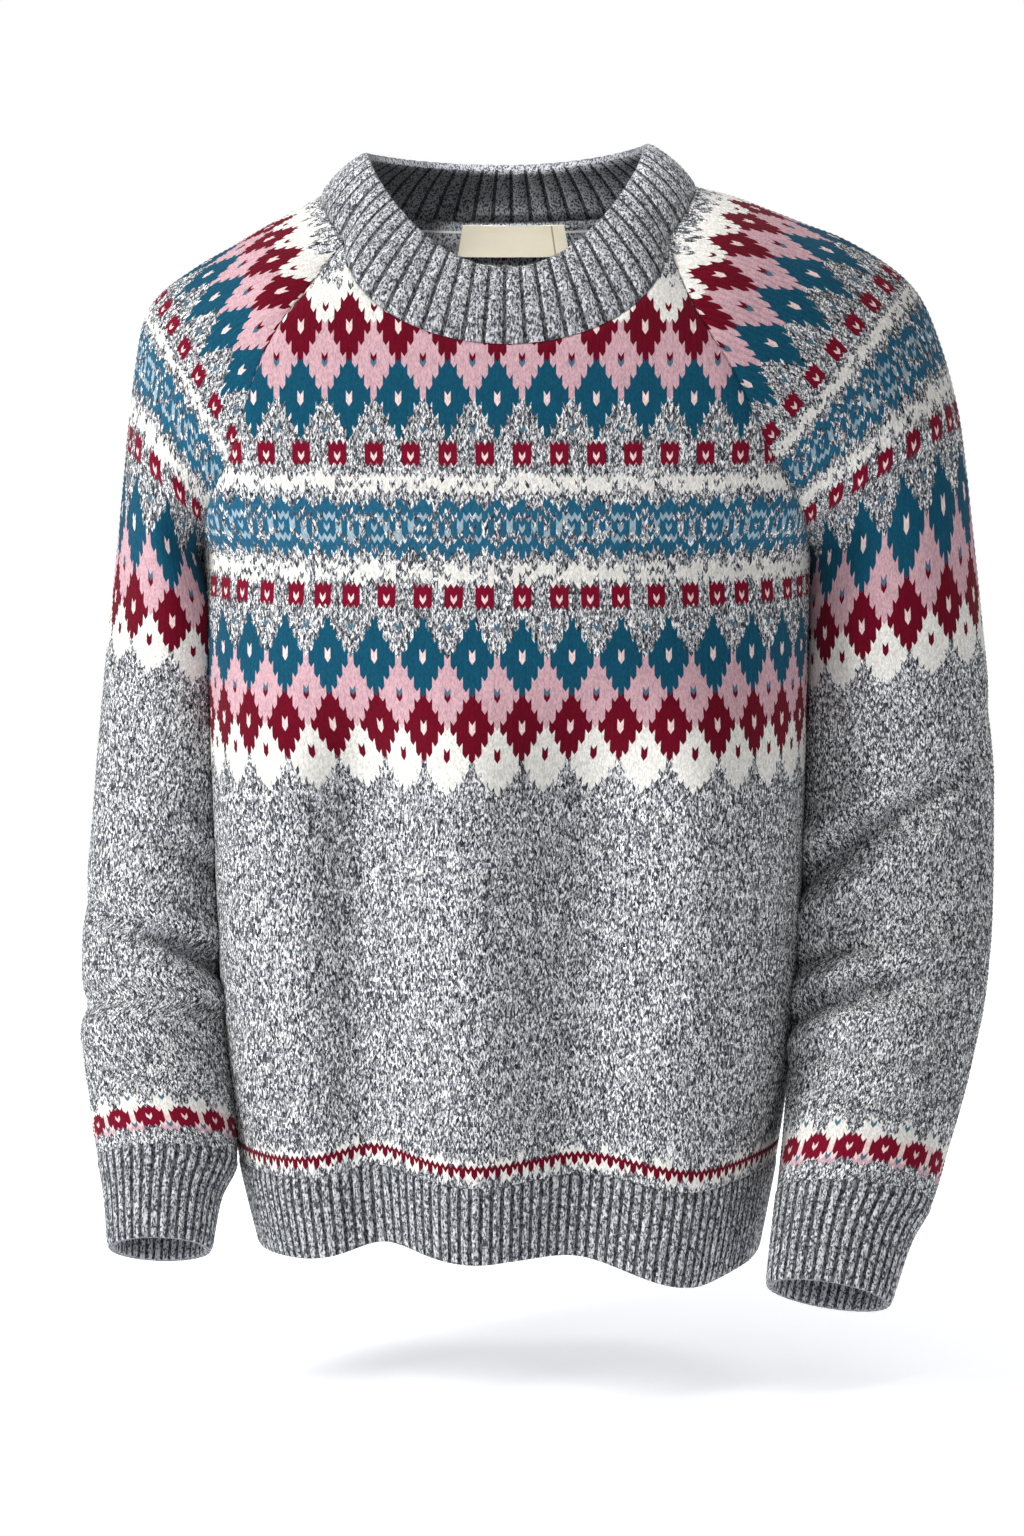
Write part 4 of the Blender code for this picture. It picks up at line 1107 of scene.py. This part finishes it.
def inside_patch(name, x, top, height, rows, depth, wall, materials, marked):
    """A flat piece sewn inside the back neck, at this depth behind the outer surface. x has its
    places across, and top is how far it begins below the neckline.

    marked tells which of its faces, by row and column, take the second material.
    """
    turns = back_turn(x)
    z = (back_neck_z(turns) - top)[None] - np.linspace(0, height, rows + 1)[:, None]
    flat = back_point(np.broadcast_to(turns, z.shape), z).reshape(-1, 3)
    index = np.arange(z.size).reshape(z.shape)
    quads = grid_quads(index)
    ways = normals_of(flat, quads)
    count = len(flat)
    both = np.concatenate([flat - ways * depth, flat - ways * (depth + wall)])
    edge = np.concatenate([index[0], index[1:, -1], index[-1, -2::-1], index[-2:0:-1, 0]])
    after = np.roll(edge, -1)
    faces = quads.tolist() + (quads[:, ::-1] + count).tolist()
    faces += np.stack([after, edge, edge + count, after + count], 1).tolist()
    mesh = bpy.data.meshes.new(name)
    mesh.from_pydata(both.tolist(), [], faces)
    for material in materials:
        mesh.materials.append(material)
    row, column = np.divmod(np.arange(2 * len(quads)) % len(quads), len(x) - 1)
    second = np.zeros(len(faces), int)
    second[:2 * len(quads)] = marked(row, column)
    mesh.polygons.foreach_set("material_index", second)
    # The marl takes its colour from here, as in the knitted pieces
    paint = mesh.color_attributes.new("yarn", "FLOAT_COLOR", "POINT")
    paint.data.foreach_set("color", np.tile([*YARNS[MARL] * TAPE_SHADE, 1.0], len(both)))
    mesh.update()
    return put_in_scene(name, mesh)


def plain_material(name, colour, roughness):
    """A matt stuff of one colour."""
    material = bpy.data.materials.new(name)
    material.use_nodes = True
    shader = material.node_tree.nodes["Principled BSDF"]
    shader.inputs["Base Color"].default_value = (*linear(colour), 1)
    shader.inputs["Roughness"].default_value = roughness
    shader.inputs["Specular IOR Level"].default_value = 0.25
    return material


# A single strand of white wool, matt, which shows as a thin light line
linking_yarn = plain_material("linking yarn", "#E9E6E2", 0.9)
tape_x = np.linspace(-TAPE_X, TAPE_X, TAPE_COLUMNS + 1)
tape = inside_patch(
    "neck_tape_strip", tape_x, TAPE_TOP, TAPE_HEIGHT, TAPE_ROWS,
    CLOTH + SEWN_GAP, TAPE_CLOTH, [rib_wool, linking_yarn],
    lambda row, column: row == LINKING_ROW
)
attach(tape, "root")
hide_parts("neck_tape")


# Label
# A small plain label of woven cotton, sewn over the tape inside the back neck. Its left end is
# folded under; here the label is drawn flat, with a tan line where the fold is.

LABEL_X, LABEL_WIDTH, LABEL_TOP, LABEL_HEIGHT = 0.004, 0.060, 0.0020, 0.0190
LABEL_CLOTH, LABEL_GAP = 0.0007, 0.0004
LABEL_ROWS, LABEL_COLUMNS, FOLD_COLUMN = 6, 60, 52

# Close-woven unbleached cotton: a flat cream with hardly any shine
woven_cotton = plain_material("woven cotton", "#F4EAD4", 0.8)
# The same cotton at the fold, where it is doubled: a narrow tan line
folded_end = plain_material("folded end", "#C4A67E", 0.8)

label_x = LABEL_X + LABEL_WIDTH * np.linspace(-0.5, 0.5, LABEL_COLUMNS + 1)
label = inside_patch(
    "sewn_label", label_x, LABEL_TOP, LABEL_HEIGHT, LABEL_ROWS,
    CLOTH + SEWN_GAP + TAPE_CLOTH + LABEL_GAP, LABEL_CLOTH, [woven_cotton, folded_end],
    lambda row, column: column == FOLD_COLUMN
)
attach(label, "root")
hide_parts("label")


# Floor, light and camera
# A round of white studio paper a little below the garment, under one soft box high on the left,
# a weak one at the front and a large one overhead. The camera sees plain white behind it.

FLOOR_Z, FLOOR_RADIUS = -0.690, 2.2
angles = np.linspace(0, 2 * np.pi, 97)[:-1]
round_edge = [(FLOOR_RADIUS * np.cos(a), FLOOR_RADIUS * np.sin(a), FLOOR_Z) for a in angles]
mesh = bpy.data.meshes.new("floor")
mesh.from_pydata(round_edge, [], [tuple(range(len(round_edge)))])
# Matt paper that glows a little, as an overexposed floor does, so it stays white in faint shade
paper = plain_material("white paper", "#F6F7FB", 0.9)
paper_shader = paper.node_tree.nodes["Principled BSDF"]
paper_shader.inputs["Emission Color"].default_value = (*linear("#FCFDFF"), 1)
paper_shader.inputs["Emission Strength"].default_value = 0.60
mesh.materials.append(paper)
floor = put_in_scene("floor", mesh)

scene = bpy.context.scene
world = bpy.data.worlds.new("studio")
world.use_nodes = True
tree = world.node_tree
tree.nodes.clear()
room = add_node(tree, "ShaderNodeBackground", {"Color": (1, 1, 1, 1), "Strength": 0.26}, {})
backdrop = add_node(tree, "ShaderNodeBackground", {"Color": (1, 1, 1, 1), "Strength": 1.0}, {})
ray = add_node(tree, "ShaderNodeLightPath", {}, {})
seen = add_node(tree, "ShaderNodeMixShader", {}, {"Fac": ray.outputs["Is Camera Ray"]})
tree.links.new(room.outputs["Background"], seen.inputs[1])
tree.links.new(backdrop.outputs["Background"], seen.inputs[2])
add_node(tree, "ShaderNodeOutputWorld", {}, {"Surface": seen.outputs["Shader"]})
scene.world = world
scene.view_settings.view_transform = "Standard"

for name, place, target, size, power, spread in (
    # in metres, watts and degrees
    ("key", (-2.3, -1.5, 1.2), (0, 0, -0.25), 0.9, 82, 180),
    ("front", (0.3, -2.6, 0.8), (0, 0, -0.25), 1.5, 4, 180),
    ("overhead", (0.0, 0.0, 2.2), (0, 0, 0), 2.6, 28, 180),
    ("neck", (0.05, -0.75, 0.9), (0, 0.07, -0.01), 0.15, 0.15, 10),
):
    lamp = bpy.data.lights.new(name, "AREA")
    lamp.energy = power
    lamp.size = size
    lamp.spread = np.radians(spread)
    stand = put_in_scene(name, lamp)
    stand.location = place
    aim = Vector(target) - Vector(place)
    stand.rotation_euler = aim.to_track_quat("-Z", "Y").to_euler()

# A long lens near the height of the shoulders, which looks down a little
lens = bpy.data.cameras.new("camera")
lens.lens = 109.1
lens.sensor_width = 36
camera = put_in_scene("camera", lens)
camera.location = (0.003, -2.683, -0.024)
camera.rotation_euler = (np.radians(83.5), 0, 0)
scene.camera = camera
